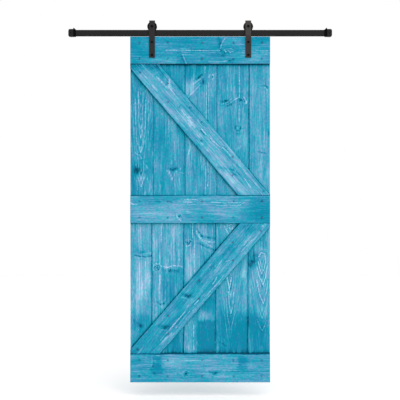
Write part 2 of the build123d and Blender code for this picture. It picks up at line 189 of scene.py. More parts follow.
class Graph(Nodes):
    """Builds one material."""

    def __init__(self, name):
        self.mat = bpy.data.materials.new(name)
        self.mat.use_nodes = True
        super().__init__(self.mat.node_tree)
        self.tree.nodes.clear()
        self.coord = self.put("ShaderNodeTexCoord")
        self.place = self.coord.outputs["Object"]

    def finish(self, colour, rough, normal=None, metallic=0.0, specular=0.5, **extra):
        b = self.put("ShaderNodeBsdfPrincipled")
        self.plug(colour, b.inputs["Base Color"])
        self.plug(rough, b.inputs["Roughness"])
        b.inputs["Metallic"].default_value = metallic
        b.inputs["Specular IOR Level"].default_value = specular
        for k, v in extra.items():
            b.inputs[k.replace("_", " ")].default_value = v
        if normal is not None:
            self.plug(normal, b.inputs["Normal"])
        o = self.put("ShaderNodeOutputMaterial")
        self.tree.links.new(b.outputs[0], o.inputs["Surface"])
        return self.mat


def group(name, ins, build):
    """A node group with float inputs; build returns its named outputs."""
    tree = bpy.data.node_groups.new(name, "ShaderNodeTree")
    for i in ins:
        tree.interface.new_socket(name=i, in_out="INPUT", socket_type="NodeSocketFloat")
    g = Nodes(tree)
    entry = g.put("NodeGroupInput")
    result = build(g, *[Num(g, entry.outputs[i]) for i in ins])
    for k in result:
        tree.interface.new_socket(name=k, in_out="OUTPUT", socket_type="NodeSocketFloat")
    end = g.put("NodeGroupOutput")
    for k, v in result.items():
        tree.links.new(v.out, end.inputs[k])
    return tree


# ------------------------------------------------------------------ stained wood
# A stained board's tone runs from 0, deep teal, to 1, pale. The stain leans to teal or to blue.
STAIN = [
    (0.00, (4, 76, 104)), (0.20, (8, 136, 168)), (0.40, (53, 153, 184)), (0.60, (97, 168, 197)), (0.80, (131, 184, 211)), (1.00, (160, 204, 230)),
]


def leaning(r, g, b):
    """The stain's ramp, shifted in hue at about the same lightness."""
    return [(p, rgb(max(c[0] + r * min(1.0, 0.45 + p * 1.6), 0), c[1] + g, c[2] + b)) for p, c in STAIN]


TEAL = leaning(-16, 5, 0)
BLUE = leaning(15, -4, 1)
# a deeper teal for painted shade
SHADE_TEAL = leaning(-34, 5, 1)


def _line(g, U, V, AU, AV, EU, EV, N, W, K, T):
    """A streak from A along E: a pale or dark thread with faint flanks of the other tone."""
    pu, pv = U - AU, V - AV
    h = g.math("MULTIPLY", g.mad(pu, EU, pv * EV), N, clamp=True)
    du, dv = pu - h * EU, pv - h * EV
    d2 = g.mad(du, du, dv * dv) * W
    return {"T": g.mad(g.gauss(d2) - g.gauss(d2 * 0.16) * 0.24, K, T)}


def _spot(g, U, V, CU, CV, IU, IV, C, S):
    du, dv = U - CU, V - CV
    a, b = g.mad(du, C, dv * S) * IU, (dv * C - du * S) * IV
    d2 = g.mad(a, a, b * b)
    return {"D2": d2, "G": g.gauss(d2)}


def _knot(g, D2, B, DARK, RING, HALO, T):
    """Dark heart, a broken pale ring and a soft pale surround."""
    d = g.math("SQRT", D2)
    heart = g.smooth(d, 0.10, 0.95, 1.0, 0.0)
    r1, r2, r3 = (d - 1.12) * 5.0, (d - 0.72) * 6.0, (d - 1.65) * 3.2
    dark_ring, inner, pale = g.gauss(r1 * r1), g.gauss(r2 * r2), g.gauss(r3 * r3)
    some = g.smooth(B, 0.40, 0.60)
    t = g.mad(heart, DARK * -1.0, T)
    t = g.mad(dark_ring * (1.0 - some * 0.8), RING * -0.6, t)
    t = g.mad(inner * some, HALO * 0.7, t)
    return {"T": g.mad(pale * g.mad(some, 1.3, -0.1), HALO, t)}


def _patch(g, U, V, U0, U1, V0, V1, IS, K, T):
    a = g.math("TANH", (U - U0) * IS) - g.math("TANH", (U - U1) * IS)
    b = g.math("TANH", (V - V0) * IS * 1.6) - g.math("TANH", (V - V1) * IS * 1.6)
    return {"T": g.mad(a * b * 0.25, K, T)}


LINE = group("streak", ("U", "V", "AU", "AV", "EU", "EV", "N", "W", "K", "T"), _line)
SPOT = group("spot", ("U", "V", "CU", "CV", "IU", "IV", "C", "S"), _spot)
KNOT = group("knot", ("D2", "B", "DARK", "RING", "HALO", "T"), _knot)
PATCH = group("patch", ("U", "V", "U0", "U1", "V0", "V1", "IS", "K", "T"), _patch)

# where rails and braces lie on the boards, in millimetres
Z_TOP_RAIL, Z_MID_HI, Z_MID_LO, Z_BOT_RAIL = -190.0, -1003.0, -1175.0, -1982.1
UP_SLOPE, UP_X, LO_SLOPE, LO_X, BRACE_W = 1.1768, -254.2, 1.1535, -247.5, 156.0


def _seat(slope, x0, z0, sign, rail_hi, rail_lo, hi, lo, outer, inner):
    """Painted shade and shadow on the boards along the rails and the brace, with a slight painted lightening in some
    soft bands: (depth, width) of a thin and a soft band.
    """
    def build(g, X, Z, B):
        wide = math.hypot(1.0, slope)
        s = g.mad(X - x0, slope / wide, (Z - z0) * (-sign / wide))
        wander = (B - 0.5) * 3.0
        total, shade_zone = None, None
        for d, (k, w, ks, ws) in ((rail_hi - Z, hi), (Z - rail_lo, lo), (s, outer), (-s - BRACE_W, inner)):
            d = d + wander
            thin, soft = d * (1 / w), d * (1 / ws)
            part = g.mad(g.gauss(thin * thin), -k, g.gauss(soft * soft) * -ks)
            total = part if total is None else total + part
            close = d * (1 / 15.0)
            close = g.gauss(close * close)
            shade_zone = close if shade_zone is None else g.maximum(shade_zone, close)
        return {"T": total * g.mad(B, 0.9, 0.55), "ShadeZone": shade_zone}
    return build


# painted shade and shadow beside the top, middle and bottom rails and along the braces' edges
SHADE_UP = group("seat_upper", ("X", "Z", "B"), _seat(UP_SLOPE, UP_X, Z_TOP_RAIL, -1.0, Z_TOP_RAIL, Z_MID_HI,
                (0.40, 9.0, 0.12, 19.0), (0.34, 2.8, -0.03, 14.0), (0.10, 3.2, -0.03, 14.0), (0.28, 4.0, -0.02, 16.0)))
SHADE_LO = group("seat_lower", ("X", "Z", "B"), _seat(LO_SLOPE, LO_X, Z_BOT_RAIL, 1.0, Z_MID_LO, Z_BOT_RAIL,
                (0.26, 4.0, -0.03, 13.0), (0.46, 6.0, 0.14, 22.0), (0.04, 3.2, -0.03, 12.0), (0.48, 6.0, 0.02, 12.0)))


def _edge_shading(g, V, LO, HI, KLO, KHI, IW, B, T):
    """Painted shade along the two long edges of a piece; a negative depth paints a lighter edge."""
    a, b = (V - LO) * IW, (HI - V) * IW
    return {"T": g.mad(g.mad(g.gauss(a * a), KLO, g.gauss(b * b) * KHI), g.mad(B, -0.9, -0.55), T)}


EDGE_SHADING = group("painted_edge_shade", ("V", "LO", "HI", "KLO", "KHI", "IW", "B", "T"), _edge_shading)
UPPER_SEAMS = (-431.8, -290.4, -94.2, 101.7, 302.9, 431.8)
LOWER_SEAMS = (-431.8, -299.5, -102.6, 95.8, 295.1, 431.8)


def _figure(g, S, U, V, Y, SEED):
    """Grain of a sawn pine board in several widths: S across the rings, U along, V across."""
    broad = g.noise(g.vec(S * (1 / 13.0), U * (1 / 260.0), g.mad(Y, 0.05, SEED * 2.1)), detail=3.0, rough=0.6)
    mid = g.noise(g.vec(S * (1 / 5.2), U * (1 / 240.0), g.mad(Y, 0.12, SEED * 3.3)), detail=2.0, rough=0.65)
    fine = g.noise(g.vec(S * (1 / 2.6), U * (1 / 80.0), g.mad(Y, 0.4, SEED * 1.9)), detail=2.0, rough=0.6)
    haze = g.noise(g.vec(V * (1 / 62.0), U * (1 / 210.0), g.mad(Y, 0.01, SEED * 5.1)), detail=3.0, rough=0.55)
    fleck = g.noise(g.vec(V * (1 / 9.0), U * (1 / 17.0), g.mad(Y, 0.1, SEED * 4.4)), detail=1.0, rough=0.6)
    worn = g.noise(g.vec(S * (1 / 5.0), U * (1 / 46.0), g.mad(Y, 0.1, SEED * 7.7)), detail=2.0, rough=0.6)
    hue = g.noise(g.vec(V * (1 / 30.0), U * (1 / 70.0), g.mad(Y, 0.02, SEED * 6.1)), detail=1.0, rough=0.5)
    tiny = g.noise(g.vec(V * (1 / 12.0), U * (1 / 17.0), g.mad(Y, 0.1, SEED * 3.7)), detail=1.0, rough=0.6)
    hue = g.mad(hue, 0.42, tiny * 0.58)
    tint = g.noise(g.vec(S * (1 / 9.0), U * (1 / 330.0), g.mad(Y, 0.05, SEED * 8.3)), detail=1.0, rough=0.5)
    ridge = 1.0 - g.absolute(tint - 0.5) * 12.0
    thread = g.maximum(ridge, 0.0) * g.smooth(worn, 0.44, 0.60) * g.smooth(haze, 0.42, 0.62, 0.25, 1.0)
    return {"Broad": broad, "Mid": mid, "Fine": fine, "Haze": haze, "Fleck": fleck, "Worn": worn, "Hue": hue, "Thread": thread}


FIGURE = group("pine_figure", ("S", "U", "V", "Y", "SEED"), _figure)


def _rings(g, S, U, W, PERIOD, SEED):
    """Growth rings where the saw ran nearly along them: nested, broken, thin pale lines."""
    drift = g.noise(g.vec(S * (1 / 26.0), U * (1 / 150.0), SEED * 1.3), detail=2.0, rough=0.6)
    ragged = g.noise(g.vec(S * (1 / 2.6), U * (1 / 7.0), SEED * 2.7), detail=2.0, rough=0.6)
    phase = S / PERIOD + (drift - 0.5) * 1.7 + (ragged - 0.5) * 0.55
    saw = g.absolute(g.math("FRACT", phase) - 0.5) * 2.0
    line = g.smooth(saw, 0.66, 0.98) * g.smooth(W, 0.40, 0.56, 0.25, 1.0)
    dark = g.smooth(saw, 0.45, 0.0)
    return {"T": line - dark * 0.34 - 0.10}


RINGS = group("growth_rings", ("S", "U", "W", "PERIOD", "SEED"), _rings)


def world_mm(px, py):
    """Picture position to x and z in millimetres at the door's front."""
    return (px - 200.32) * 6.19, 204.0 - 6.178 * py


class Wood:
    """One board: u runs along the grain and v across it, both in millimetres."""

    def __init__(self, name, along, seed, tone, wobble=3.0, cathedral=None, cathedral2=None, seat=None):
        g = self.g = Graph(name)
        self.tone0, self.seat, self.seed = tone, seat, seed
        length = math.hypot(*along)
        dx, dz = along[0] / length, along[1] / length
        self.d, self.n = (dx, dz), (dz, -dx)
        u = g.dot(g.place, (dx * 1000, 0, dz * 1000))
        v = g.dot(g.place, (dz * 1000, 0, -dx * 1000))
        self.flat_v = v
        self.y = g.dot(g.place, (0, 1000, 0))
        w = g.noise(g.vec(u * (1 / 210), v * (1 / 60), g.mad(self.y, 1 / 60, seed)), detail=2.0, rough=0.55, colour=True)
        self.v = g.mad(w[0] - 0.5, wobble * 2.2, v)
        self.u = g.mad(w[1] - 0.5, 16.0, u)
        # ragged edges for the small marks, larger ones for patches
        r = g.noise(g.vec(u * (1 / 13), v * (1 / 5.5), seed * 1.7), detail=2.0, rough=0.65, colour=True)
        self.ru = g.mad(r[0] - 0.5, 15.0, self.u)
        self.rv = g.mad(r[1] - 0.5, 6.5, self.v)
        self.gap = r[2]
        p = g.noise(g.vec(u * (1 / 60), v * (1 / 20), seed * 2.9), detail=3.0, rough=0.65, colour=True)
        self.pu = g.mad(p[0] - 0.5, 60.0, self.ru)
        self.pv = g.mad(p[1] - 0.5, 22.0, self.rv)
        self.patchy = p[2]
        self.s = self.v
        self.ring_zones = []
        if cathedral:
            px, k, c, ya, yb = cathedral
            vc = self.uv(px, ya)[1]
            ua, ub = self.uv(px, ya)[0], self.uv(px, yb)[0]
            lo, hi = min(ua, ub), max(ua, ub)
            dv = self.v - vc
            arm = g.math("SQRT", g.mad(dv, dv, c * c))
            self.s = arm - g.smooth(self.u, lo, hi, 0.0, k * (hi - lo))
        self.parts = []
        self.t = None

    def uv(self, px, py):
        x, z = world_mm(px, py)
        return x * self.d[0] + z * self.d[1], x * self.n[0] + z * self.n[1]

    def _spot(self, px, py, ru, rv, warp="r", turn=0.0):
        cu, cv = self.uv(px, py)
        u, v = {"r": (self.ru, self.rv), "p": (self.pu, self.pv), "s": (self.u, self.v)}[warp]
        c, s = math.cos(math.radians(turn)), math.sin(math.radians(turn))
        return self.g.use(SPOT, U=u, V=v, CU=cu, CV=cv, IU=1 / ru, IV=1 / rv, C=c, S=s)

    def bump(self, px, py, ru, rv, height):
        """Grain that parts and closes round a spot."""
        m = self._spot(px, py, ru, rv, "s")[1]
        self.s = self.g.mad(m, height, self.s)

    def part(self, px, py, ru, rv, height):
        """Grain pushed away from a spot on both sides."""
        g = self.g
        cu, cv = self.uv(px, py)
        m = self._spot(px, py, ru, rv, "s")[1]
        self.s = self.s + m * g.math("TANH", (self.v - cv) * (2.0 / rv)) * -height

    def rings(self, px, py, ru, rv, amount):
        self.ring_zones.append((px, py, ru, rv, amount))

    def knot(self, px, py, ru, rv, dark=0.45, ring=0.25, bump=10.0, halo=0.15, turn=0.0):
        """A knot, and the grain that flows round it. ru and rv in mm."""
        self.part(px, py, ru * 2.4, rv * 2.2, bump * 0.55)
        self.parts.append(("knot", (px, py, ru, rv, dark, ring, halo, turn)))

    def blob(self, px, py, ru, rv, amount, turn=0.0):
        self.parts.append(("blob", (px, py, ru, rv, amount, turn)))

    def line(self, x0, y0, x1, y1, width, amount, fibre=True):
        self.parts.append(("line", (x0, y0, x1, y1, width, amount, fibre)))

    def path(self, points, width, amount, fibre=True):
        for (x0, y0), (x1, y1) in zip(points, points[1:]):
            self.line(x0, y0, x1, y1, width, amount, fibre)

    def box(self, x0, y0, x1, y1, soft, amount):
        """A patch with ragged, soft edges."""
        self.parts.append(("box", (x0, y0, x1, y1, soft, amount)))

    def make(self, streak=1.0, pale=0.32, cloud=1.0, ring=0.0, side=0.20, eased=0.10, eased_lo=None, eased_hi=None, ends=None,
             edge_shade=None, speck=0.34, joint_shade=None, floor=0.17, screws=()):
        g, sd = self.g, self.seed
        broad, mid, fine, haze, fleck, worn, hue, thread = g.use(FIGURE, S=self.s, U=self.u, V=self.v, Y=self.y, SEED=sd)
        t = g.mad(broad - 0.5, 0.62 * streak, self.tone0)
        t = g.mad(mid - 0.5, 0.80 * streak, t)
        t = g.mad(fine - 0.5, 0.50, t)
        t = g.mad(haze - 0.5, 0.62 * cloud, t)
        t = g.mad(fleck - 0.5, speck, t)
        t = g.mad(thread, pale, t)
        if self.ring_zones or ring:
            zone = None
            for px, py, ru, rv, amount in self.ring_zones:
                m = self._spot(px, py, ru, rv, "p")[1] * amount
                zone = m if zone is None else zone + m
            zone = zone + ring if zone is not None else ring
            lines = g.use(RINGS, S=self.s, U=self.u, W=worn, PERIOD=8.6, SEED=sd)
            t = g.mad(lines, zone, t)
        thin = g.smooth(self.gap, 0.36, 0.58, 0.15, 1.25)
        even = g.mad(self.patchy - 0.5, 1.0, 1.0)
        rough_gain = g.mad(self.patchy - 0.5, 2.4, 1.0)
        # patches belong to the face they were placed on, and only just show on the back
        placed = even * g.smooth(g.dot(g.coord.outputs["Normal"], (0, 1, 0)), 0.5, -0.5, 0.3, 1.0)
        # patches first, then a floor under the stain, so that only the small marks go darker
        patches = [p for p in self.parts if p[0] == "box"]
        for kind, a in patches + [("floor", floor)] + [p for p in self.parts if p[0] != "box"]:
            if kind == "floor":
                t = g.math("SMOOTH_MAX", t, a, 0.28)
            elif kind == "line":
                x0, y0, x1, y1, width, amount, fibre = a
                (au, av), (bu, bv) = self.uv(x0, y0), self.uv(x1, y1)
                eu, ev = bu - au, bv - av
                t = g.use(LINE, U=self.ru, V=self.rv, AU=au, AV=av, EU=eu, EV=ev, N=1 / (eu * eu + ev * ev), W=1 / (width * 1.4) ** 2,
                          K=thin * (amount * 1.15) if fibre else even * amount, T=t)
            elif kind == "knot":
                px, py, ru, rv, dark, rng, halo, turn = a
                d2 = self._spot(px, py, ru, rv, "r", turn)[0]
                t = g.use(KNOT, D2=d2, B=self.gap, DARK=dark, RING=rng, HALO=halo, T=t)
            elif kind == "blob":
                px, py, ru, rv, amount, turn = a
                t = g.mad(self._spot(px, py, ru, rv, "r", turn)[1], rough_gain * amount, t)
            else:
                x0, y0, x1, y1, soft, amount = a
                (au, av), (bu, bv) = self.uv(x0, y0), self.uv(x1, y1)
                t = g.use(PATCH, U=self.pu, V=self.pv, U0=min(au, bu), U1=max(au, bu), V0=min(av, bv), V1=max(av, bv), IS=1.0 / soft,
                          K=placed * amount, T=t)
        # painted shade along the long edges, and beside the grooves on the boards
        if edge_shade is not None:
            lo, hi, k_lo, k_hi, w = edge_shade
            t = g.use(EDGE_SHADING, V=self.flat_v, LO=lo, HI=hi, KLO=k_lo, KHI=k_hi, IW=1.0 / w, B=worn, T=t)
        if joint_shade is not None:
            # painted shade and shadow where a brace is cut to meet a rail: (height, depth, width, soft depth, soft
            # width)
            z = g.dot(g.place, (0, 0, 1000))
            for at, k, w, ks, ws in joint_shade:
                d = z - at
                a, b = d * (1 / w), d * (1 / ws)
                t = t + g.mad(g.gauss(a * a), -k, g.gauss(b * b) * -ks) * g.mad(worn, 0.9, 0.55)
        if screws:
            # painted shade round the screw heads, where their countersinks lie in shadow
            x, z = g.dot(g.place, (1000, 0, 0)), g.dot(g.place, (0, 0, 1000))
            for sx, sz in screws:
                t = g.mad(g.use(SPOT, U=x, V=z, CU=sx, CV=sz, IU=1 / 6.6, IV=1 / 6.6, C=1.0, S=0.0)[1], -0.34, t)
        # faces, eased corners and narrow sides: painted highlight or painted shade on the eased corners, painted shade
        # on the narrow sides
        normal = g.coord.outputs["Normal"]
        ny = g.dot(normal, (0, 1, 0))
        flat = g.absolute(ny)
        narrow = g.smooth(flat, 0.25, 0.60, 1.0, 0.0)
        corner = g.smooth(g.absolute(flat - 0.707), 0.10, 0.24, 1.0, 0.0)
        if self.seat is not None:
            x, z = g.dot(g.place, (1000, 0, 0)), g.dot(g.place, (0, 0, 1000))
            front = g.smooth(ny, -0.5, -0.8)
            # painted shade and shadow beside the rails and the brace, on the front face only
            seated, shade_zone = g.use(self.seat, X=x, Z=z, B=worn)
            t = g.mad(seated, front, t)
            shaded = shade_zone * front
        across = g.dot(normal, (self.n[0], 0, self.n[1]))
        lo, hi = eased if eased_lo is None else eased_lo, eased if eased_hi is None else eased_hi
        amount = lo if lo == hi else g.smooth(across, -0.1, 0.1, lo, hi)
        if ends is not None:
            lengthways = g.absolute(g.dot(normal, (self.d[0], 0, self.d[1])))
            amount = g.smooth(lengthways, 0.22, 0.40, amount, ends)
        t = t + corner * amount
        t = g.mad(narrow, -side, t)
        # end grain: arcs of the growth rings across the cut
        end = g.smooth(g.absolute(g.dot(normal, (self.d[0], 0, self.d[1]))), 0.80, 0.95)
        yy = self.y + 78.0
        arc = g.math("SQRT", g.mad(self.v, self.v, yy * yy)) * (1 / 3.4)
        bands = g.smooth(g.absolute(g.math("FRACT", arc + (mid - 0.5) * 0.8) - 0.5) * 2.0, 0.25, 0.95)
        t = g.mad(end, bands * 0.26 - 0.16, t)
        t = g.clamp(t)
        lean = g.smooth(hue, 0.42, 0.58)
        colour = g.mix(lean, g.ramp(t, TEAL), g.ramp(t, BLUE))
        if self.seat is not None:
            # painted shade along the rails and the brace is tinted a deeper teal
            colour = g.mix(shaded * 0.85, colour, g.ramp(t, SHADE_TEAL))
        # bare wood just shows through the palest threads
        colour = g.mix(g.smooth(fleck + worn, 1.16, 1.36, 0.0, 0.08), colour, rgb(176, 150, 158))
        rough = g.mad(broad - 0.5, -0.25, 0.68)
        height = g.mad(fine, 0.5, mid * 0.6) + thread * 0.3
        normal_out = g.bump(height, 0.0006, 0.5)
        return g.finish(colour, rough, normal_out, specular=0.05)


# where the wood screws are, in millimetres
Z_FOOT = -2157.1
COLS = (-374.6, -200.0, 11.6, 205.4, 380.5)


def two_rows(low, high):
    return [(x, Z_FOOT + v) for v in (low, high) for x in COLS]


def spots(*points):
    return [(x, Z_FOOT + v) for x, v in points]


UP = (0.0, 1.0)
ALONG = (1.0, 0.0)
made = {}


def board(node, seam_l=-0.40, seam_r=-0.40, shade_l=0.16, shade_r=0.16, **kw):
    """A vertical board: seam_ is the painted tone on the groove's chamfer on each side, darker for shade in the
    groove, lighter for a painted highlight; the second pair is the painted shade on the board beside the groove.
    """
    upper = node.startswith("upper")
    i = int(node[-1]) - 1
    edges = UPPER_SEAMS if upper else LOWER_SEAMS
    w = Wood("wood_" + node, UP, seat=SHADE_UP if upper else SHADE_LO, **kw)
    make = w.make

    def done(**k):
        return make(eased_lo=seam_l, eased_hi=seam_r, edge_shade=(edges[i], edges[i + 1], shade_l if i else 0.0, shade_r if i < 4 else 0.0, 7.0), **k)

    w.make = done
    return w

# ---- upper boards
w = board("upper_board_1", seed=1.3, tone=0.33, cathedral=(141.0, 0.085, 6.0, 204, 60), seam_l=0.06, seam_r=0.10, shade_l=0.00, shade_r=0.12)
w.rings(141.0, 122, 250, 42, 0.46)
w.rings(142.0, 184, 90, 44, 0.40)
w.knot(138.3, 169.6, 21, 26, dark=0.26, ring=0.1, bump=14, halo=0.05)
w.blob(138.6, 169.0, 36, 34, -0.22)
w.blob(138.2, 171.4, 12, 10, -0.16)
w.blob(143.6, 177.4, 7, 5, 0.34)
w.blob(144.6, 174.0, 6, 4, 0.26)
w.blob(142.4, 181.6, 12, 4, 0.26)
w.path([(134.5, 151), (137.0, 154.2), (139.6, 155.2), (141.8, 158.6)], 2.4, 0.46)
w.path([(143.0, 160.0), (143.8, 163.8), (146.0, 165.0), (147.8, 168.4)], 2.4, 0.44)
w.blob(140.8, 157.0, 8, 5, 0.24)
w.blob(145.2, 161.8, 10, 4, 0.24)
w.path([(135.4, 99), (135.8, 124), (137.0, 141), (140.8, 152), (143.6, 146), (145.4, 130), (146.0, 100)], 2.0, 0.50)
w.path([(138.6, 92), (138.9, 120), (140.9, 137.4), (142.6, 124), (143.1, 92)], 1.9, 0.46)
w.path([(133.6, 104), (133.9, 134), (134.6, 150)], 1.8, 0.28)
w.path([(148.6, 96), (148.7, 150)], 2.0, 0.26)
w.path([(139.0, 178), (141.4, 186.6), (144.2, 178)], 2.2, 0.34)
w.path([(136.4, 180), (138.0, 190)], 2.2, 0.28)
w.box(131, 70, 143, 96, 22, -0.05)
w.box(131, 158, 136, 194, 14, -0.10)
w.box(131, 170, 150, 194, 18, -0.07)
made["upper_board_1"] = w.make(streak=0.90, pale=0.42)

w = board("upper_board_2", seed=4.1, tone=0.35, seam_l=0.10, seam_r=0.00, shade_l=0.14, shade_r=0.12)
w.line(168.8, 108, 168.8, 136, 2.1, 0.36)
w.line(175.0, 122, 175.0, 160, 2.1, 0.32)
w.line(157.0, 118, 157.0, 128, 3.6, 0.24)
w.knot(174.8, 168.8, 9, 16, dark=0.20, ring=0.10, bump=10, halo=0.04)
w.blob(170.4, 169.4, 9, 11, -0.34)
w.blob(176.6, 168.2, 12, 9, -0.38)
w.blob(173.4, 170.6, 7, 12, -0.22)
w.blob(167.8, 171.0, 6, 7, 0.40)
w.blob(169.6, 173.0, 8, 5, 0.46)
w.blob(171.2, 175.6, 7, 4, 0.30)
w.blob(172.3, 178.8, 9, 4, 0.60)
w.blob(174.4, 174.2, 8, 4, 0.46)
w.blob(176.4, 171.8, 5, 6, 0.34)
w.path([(173.6, 178.0), (174.2, 175.2)], 2.0, 0.34)
w.path([(170.8, 176), (171.0, 186)], 2.4, 0.30)
w.blob(171.8, 162.6, 12, 5, 0.34)
w.blob(171.6, 160.6, 7, 3, 0.20)
w.blob(180.6, 169.2, 7, 4, 0.46)
w.path([(179.6, 172.8), (184.2, 173.4)], 2.0, 0.38)
w.line(160.4, 184, 160.2, 194, 3.0, 0.34)
w.box(162, 66, 184, 92, 24, -0.03)
w.box(154, 136, 168, 176, 24, -0.08)
made["upper_board_2"] = w.make(streak=0.66, pale=0.26)

w = board("upper_board_3", seed=7.7, tone=0.42, seam_l=-0.10, seam_r=0.06, shade_l=0.02, shade_r=0.06)
w.box(186, 83, 193.6, 94, 9, 0.24)
w.path([(193.6, 83.8), (199.0, 79.8), (203.4, 76.4)], 3.0, 0.46)
w.path([(188.5, 97), (194.0, 91.5), (200.4, 84.6)], 2.8, 0.46)
w.path([(194.0, 80.4), (199, 77.0), (202, 74.2)], 4.6, -0.30)
w.path([(200.8, 86.0), (203.5, 82.6), (206.0, 79.6)], 8.0, -0.08, fibre=False)
w.path([(197.6, 84.6), (201.6, 80.0)], 2.2, 0.30)
w.blob(203.4, 82.6, 28, 21, -0.20)
w.knot(212.4, 76.4, 10, 12, dark=0.24, ring=0.22, bump=12, halo=0.34)
w.path([(212.2, 74.0), (213.9, 75.4), (213.6, 77.8), (212.0, 78.6)], 2.0, 0.56)
w.line(205.4, 66, 205.5, 72.0, 2.4, 0.50)
w.path([(206.3, 84), (206.5, 102), (206.3, 121)], 2.2, 0.56)
w.path([(208.7, 82), (208.9, 100), (208.5, 119)], 2.0, 0.44)
w.path([(188.0, 135), (190.4, 146), (189.0, 154)], 3.6, 0.36)
w.path([(191.4, 148), (192.0, 166)], 3.0, 0.20)
w.blob(196.5, 166, 70, 60, -0.14)
w.path([(208.0, 160), (208.3, 172), (208.0, 186)], 2.6, 0.52)
w.line(205.8, 166, 205.5, 194, 2.4, 0.34)
w.line(210.7, 168, 210.8, 194, 2.4, 0.32)
w.box(186, 66, 202, 78, 16, -0.24)
w.box(186, 66, 216, 82, 20, -0.06)
w.box(186, 114, 216, 194, 30, 0.06)
w.box(196, 150, 216, 160, 16, -0.10)
made["upper_board_3"] = w.make(streak=0.78, pale=0.30)

w = board("upper_board_4", seed=9.4, tone=0.38, cathedral=(239.7, 0.045, 5.0, 200, 62), seam_l=0.06, seam_r=-0.22, shade_l=0.08, shade_r=0.14)
w.rings(239.7, 136, 150, 26, 0.30)
w.path([(239.2, 66), (239.5, 84)], 2.1, 0.48)
w.path([(239.9, 80), (239.5, 97)], 2.3, 0.56)
w.path([(239.6, 104.5), (239.3, 121)], 2.2, 0.52)
w.blob(225.6, 101.0, 12, 32, -0.18)
w.blob(229.6, 103.8, 11, 28, -0.18)
w.path([(219.4, 102.0), (226.0, 100.4), (233.0, 99.4)], 4.2, -0.16, fibre=False)
w.path([(226.6, 105.8), (231, 104.6), (235.0, 101.6)], 3.6, -0.16, fibre=False)
w.path([(221.6, 104.4), (227.6, 102.0), (231.6, 98.8)], 2.2, 0.46)
w.path([(225.2, 105.2), (231.2, 101.8), (236.4, 98.4)], 2.0, 0.34)
w.path([(235.6, 99.0), (238.0, 97.2), (239.6, 94.6)], 2.2, 0.46)
w.blob(239.4, 80.0, 70, 15, 0.14)
w.knot(241.2, 99.6, 12, 14, dark=0.40, ring=0.12, bump=10, halo=0.06)
w.path([(241.8, 97.4), (244.0, 100.0)], 2.0, 0.40)
w.path([(243.6, 96.2), (246.4, 100.4)], 2.0, 0.34)
w.blob(246.4, 101.8, 8, 5, 0.90)
w.path([(236.8, 98.4), (240.4, 97.0)], 2.0, 0.40)
w.path([(243.4, 98.4), (245.0, 101.6)], 2.6, -0.46)
w.box(218.4, 106, 223.6, 126, 14, 0.16)
w.knot(238.0, 128.4, 14, 16, dark=0.0, ring=0.12, bump=8, halo=0.14)
w.blob(235.4, 127.8, 10, 5, -0.24)
w.blob(237.4, 125.8, 4, 12, -0.24)
w.blob(240.6, 128.2, 11, 5, -0.26)
w.blob(238.0, 130.4, 4, 11, -0.26)
w.blob(238.0, 128.2, 4, 6, 0.26)
w.blob(238.2, 133.2, 4, 14, -0.26)
w.blob(238.4, 147.6, 8, 5, 0.36)
w.blob(240.4, 146.2, 9, 4, 0.28)
w.blob(236.6, 149.0, 6, 5, 0.22)
w.path([(234.8, 108), (235.0, 122)], 2.0, 0.28)
w.blob(230, 82, 110, 46, -0.08)
w.box(234, 134, 248, 150, 16, 0.08)
w.box(218, 152, 248, 190, 24, 0.06)
made["upper_board_4"] = w.make(streak=0.68, pale=0.28)

w = board("upper_board_5", seed=12.9, tone=0.47, seam_l=-0.28, seam_r=0.06, shade_l=0.04, shade_r=0.00)
w.path([(266.8, 74), (265.2, 79), (265.8, 84), (267.4, 88.5)], 3.6, -0.18, fibre=False)
w.blob(267.4, 84.0, 22, 9, -0.12)
w.path([(261.0, 85.8), (264.6, 85.6), (268.6, 87.0)], 3.6, -0.24, fibre=False)
w.path([(265.0, 87.2), (267.4, 89.4)], 3.0, 0.42)
w.path([(258.2, 151.0), (262.0, 152.6), (265.8, 153.4)], 3.4, -0.28, fibre=False)
w.blob(262.0, 152.4, 5, 12, -0.14)
w.blob(269.2, 133, 18, 9, -0.22)
w.line(264.6, 90, 264.4, 148, 2.6, 0.24)
w.line(268.0, 94, 267.8, 128, 2.4, 0.22)
w.box(264, 100, 270, 190, 18, -0.06)
made["upper_board_5"] = w.make(streak=0.70, pale=0.20, cloud=0.8)

# ---- lower boards
w = board("lower_board_1", seed=15.2, tone=0.55, seam_l=0.06, seam_r=-0.14, shade_l=0.00, shade_r=0.20)
w.path([(135.0, 255.0), (139.5, 256.4), (145.5, 257.0), (151.6, 255.6)], 3.6, -0.52)
w.path([(141.0, 259.2), (147.0, 259.0)], 2.8, -0.24)
w.path([(143.8, 254.0), (147.5, 253.2), (151.6, 252.6)], 2.6, 0.40)
w.blob(141.4, 252.6, 14, 24, -0.22)
w.box(137, 259, 150, 300, 22, 0.18)
w.path([(134.6, 320.5), (137.0, 323.6), (141.2, 326.0), (148.6, 327.6)], 8.0, -0.11, fibre=False)
w.blob(138.0, 324.6, 28, 28, -0.05)
w.blob(134.5, 229, 40, 14, -0.16)
w.box(131, 232, 134.4, 300, 12, -0.14)
w.box(131, 316, 151, 352, 24, -0.34)
w.path([(141.2, 228), (141.0, 247)], 2.4, 0.30)
w.path([(145.8, 262), (145.4, 298)], 2.4, 0.30)
w.path([(139.4, 262), (139.6, 290)], 2.2, 0.26)
made["lower_board_1"] = w.make(streak=0.72, pale=0.34)

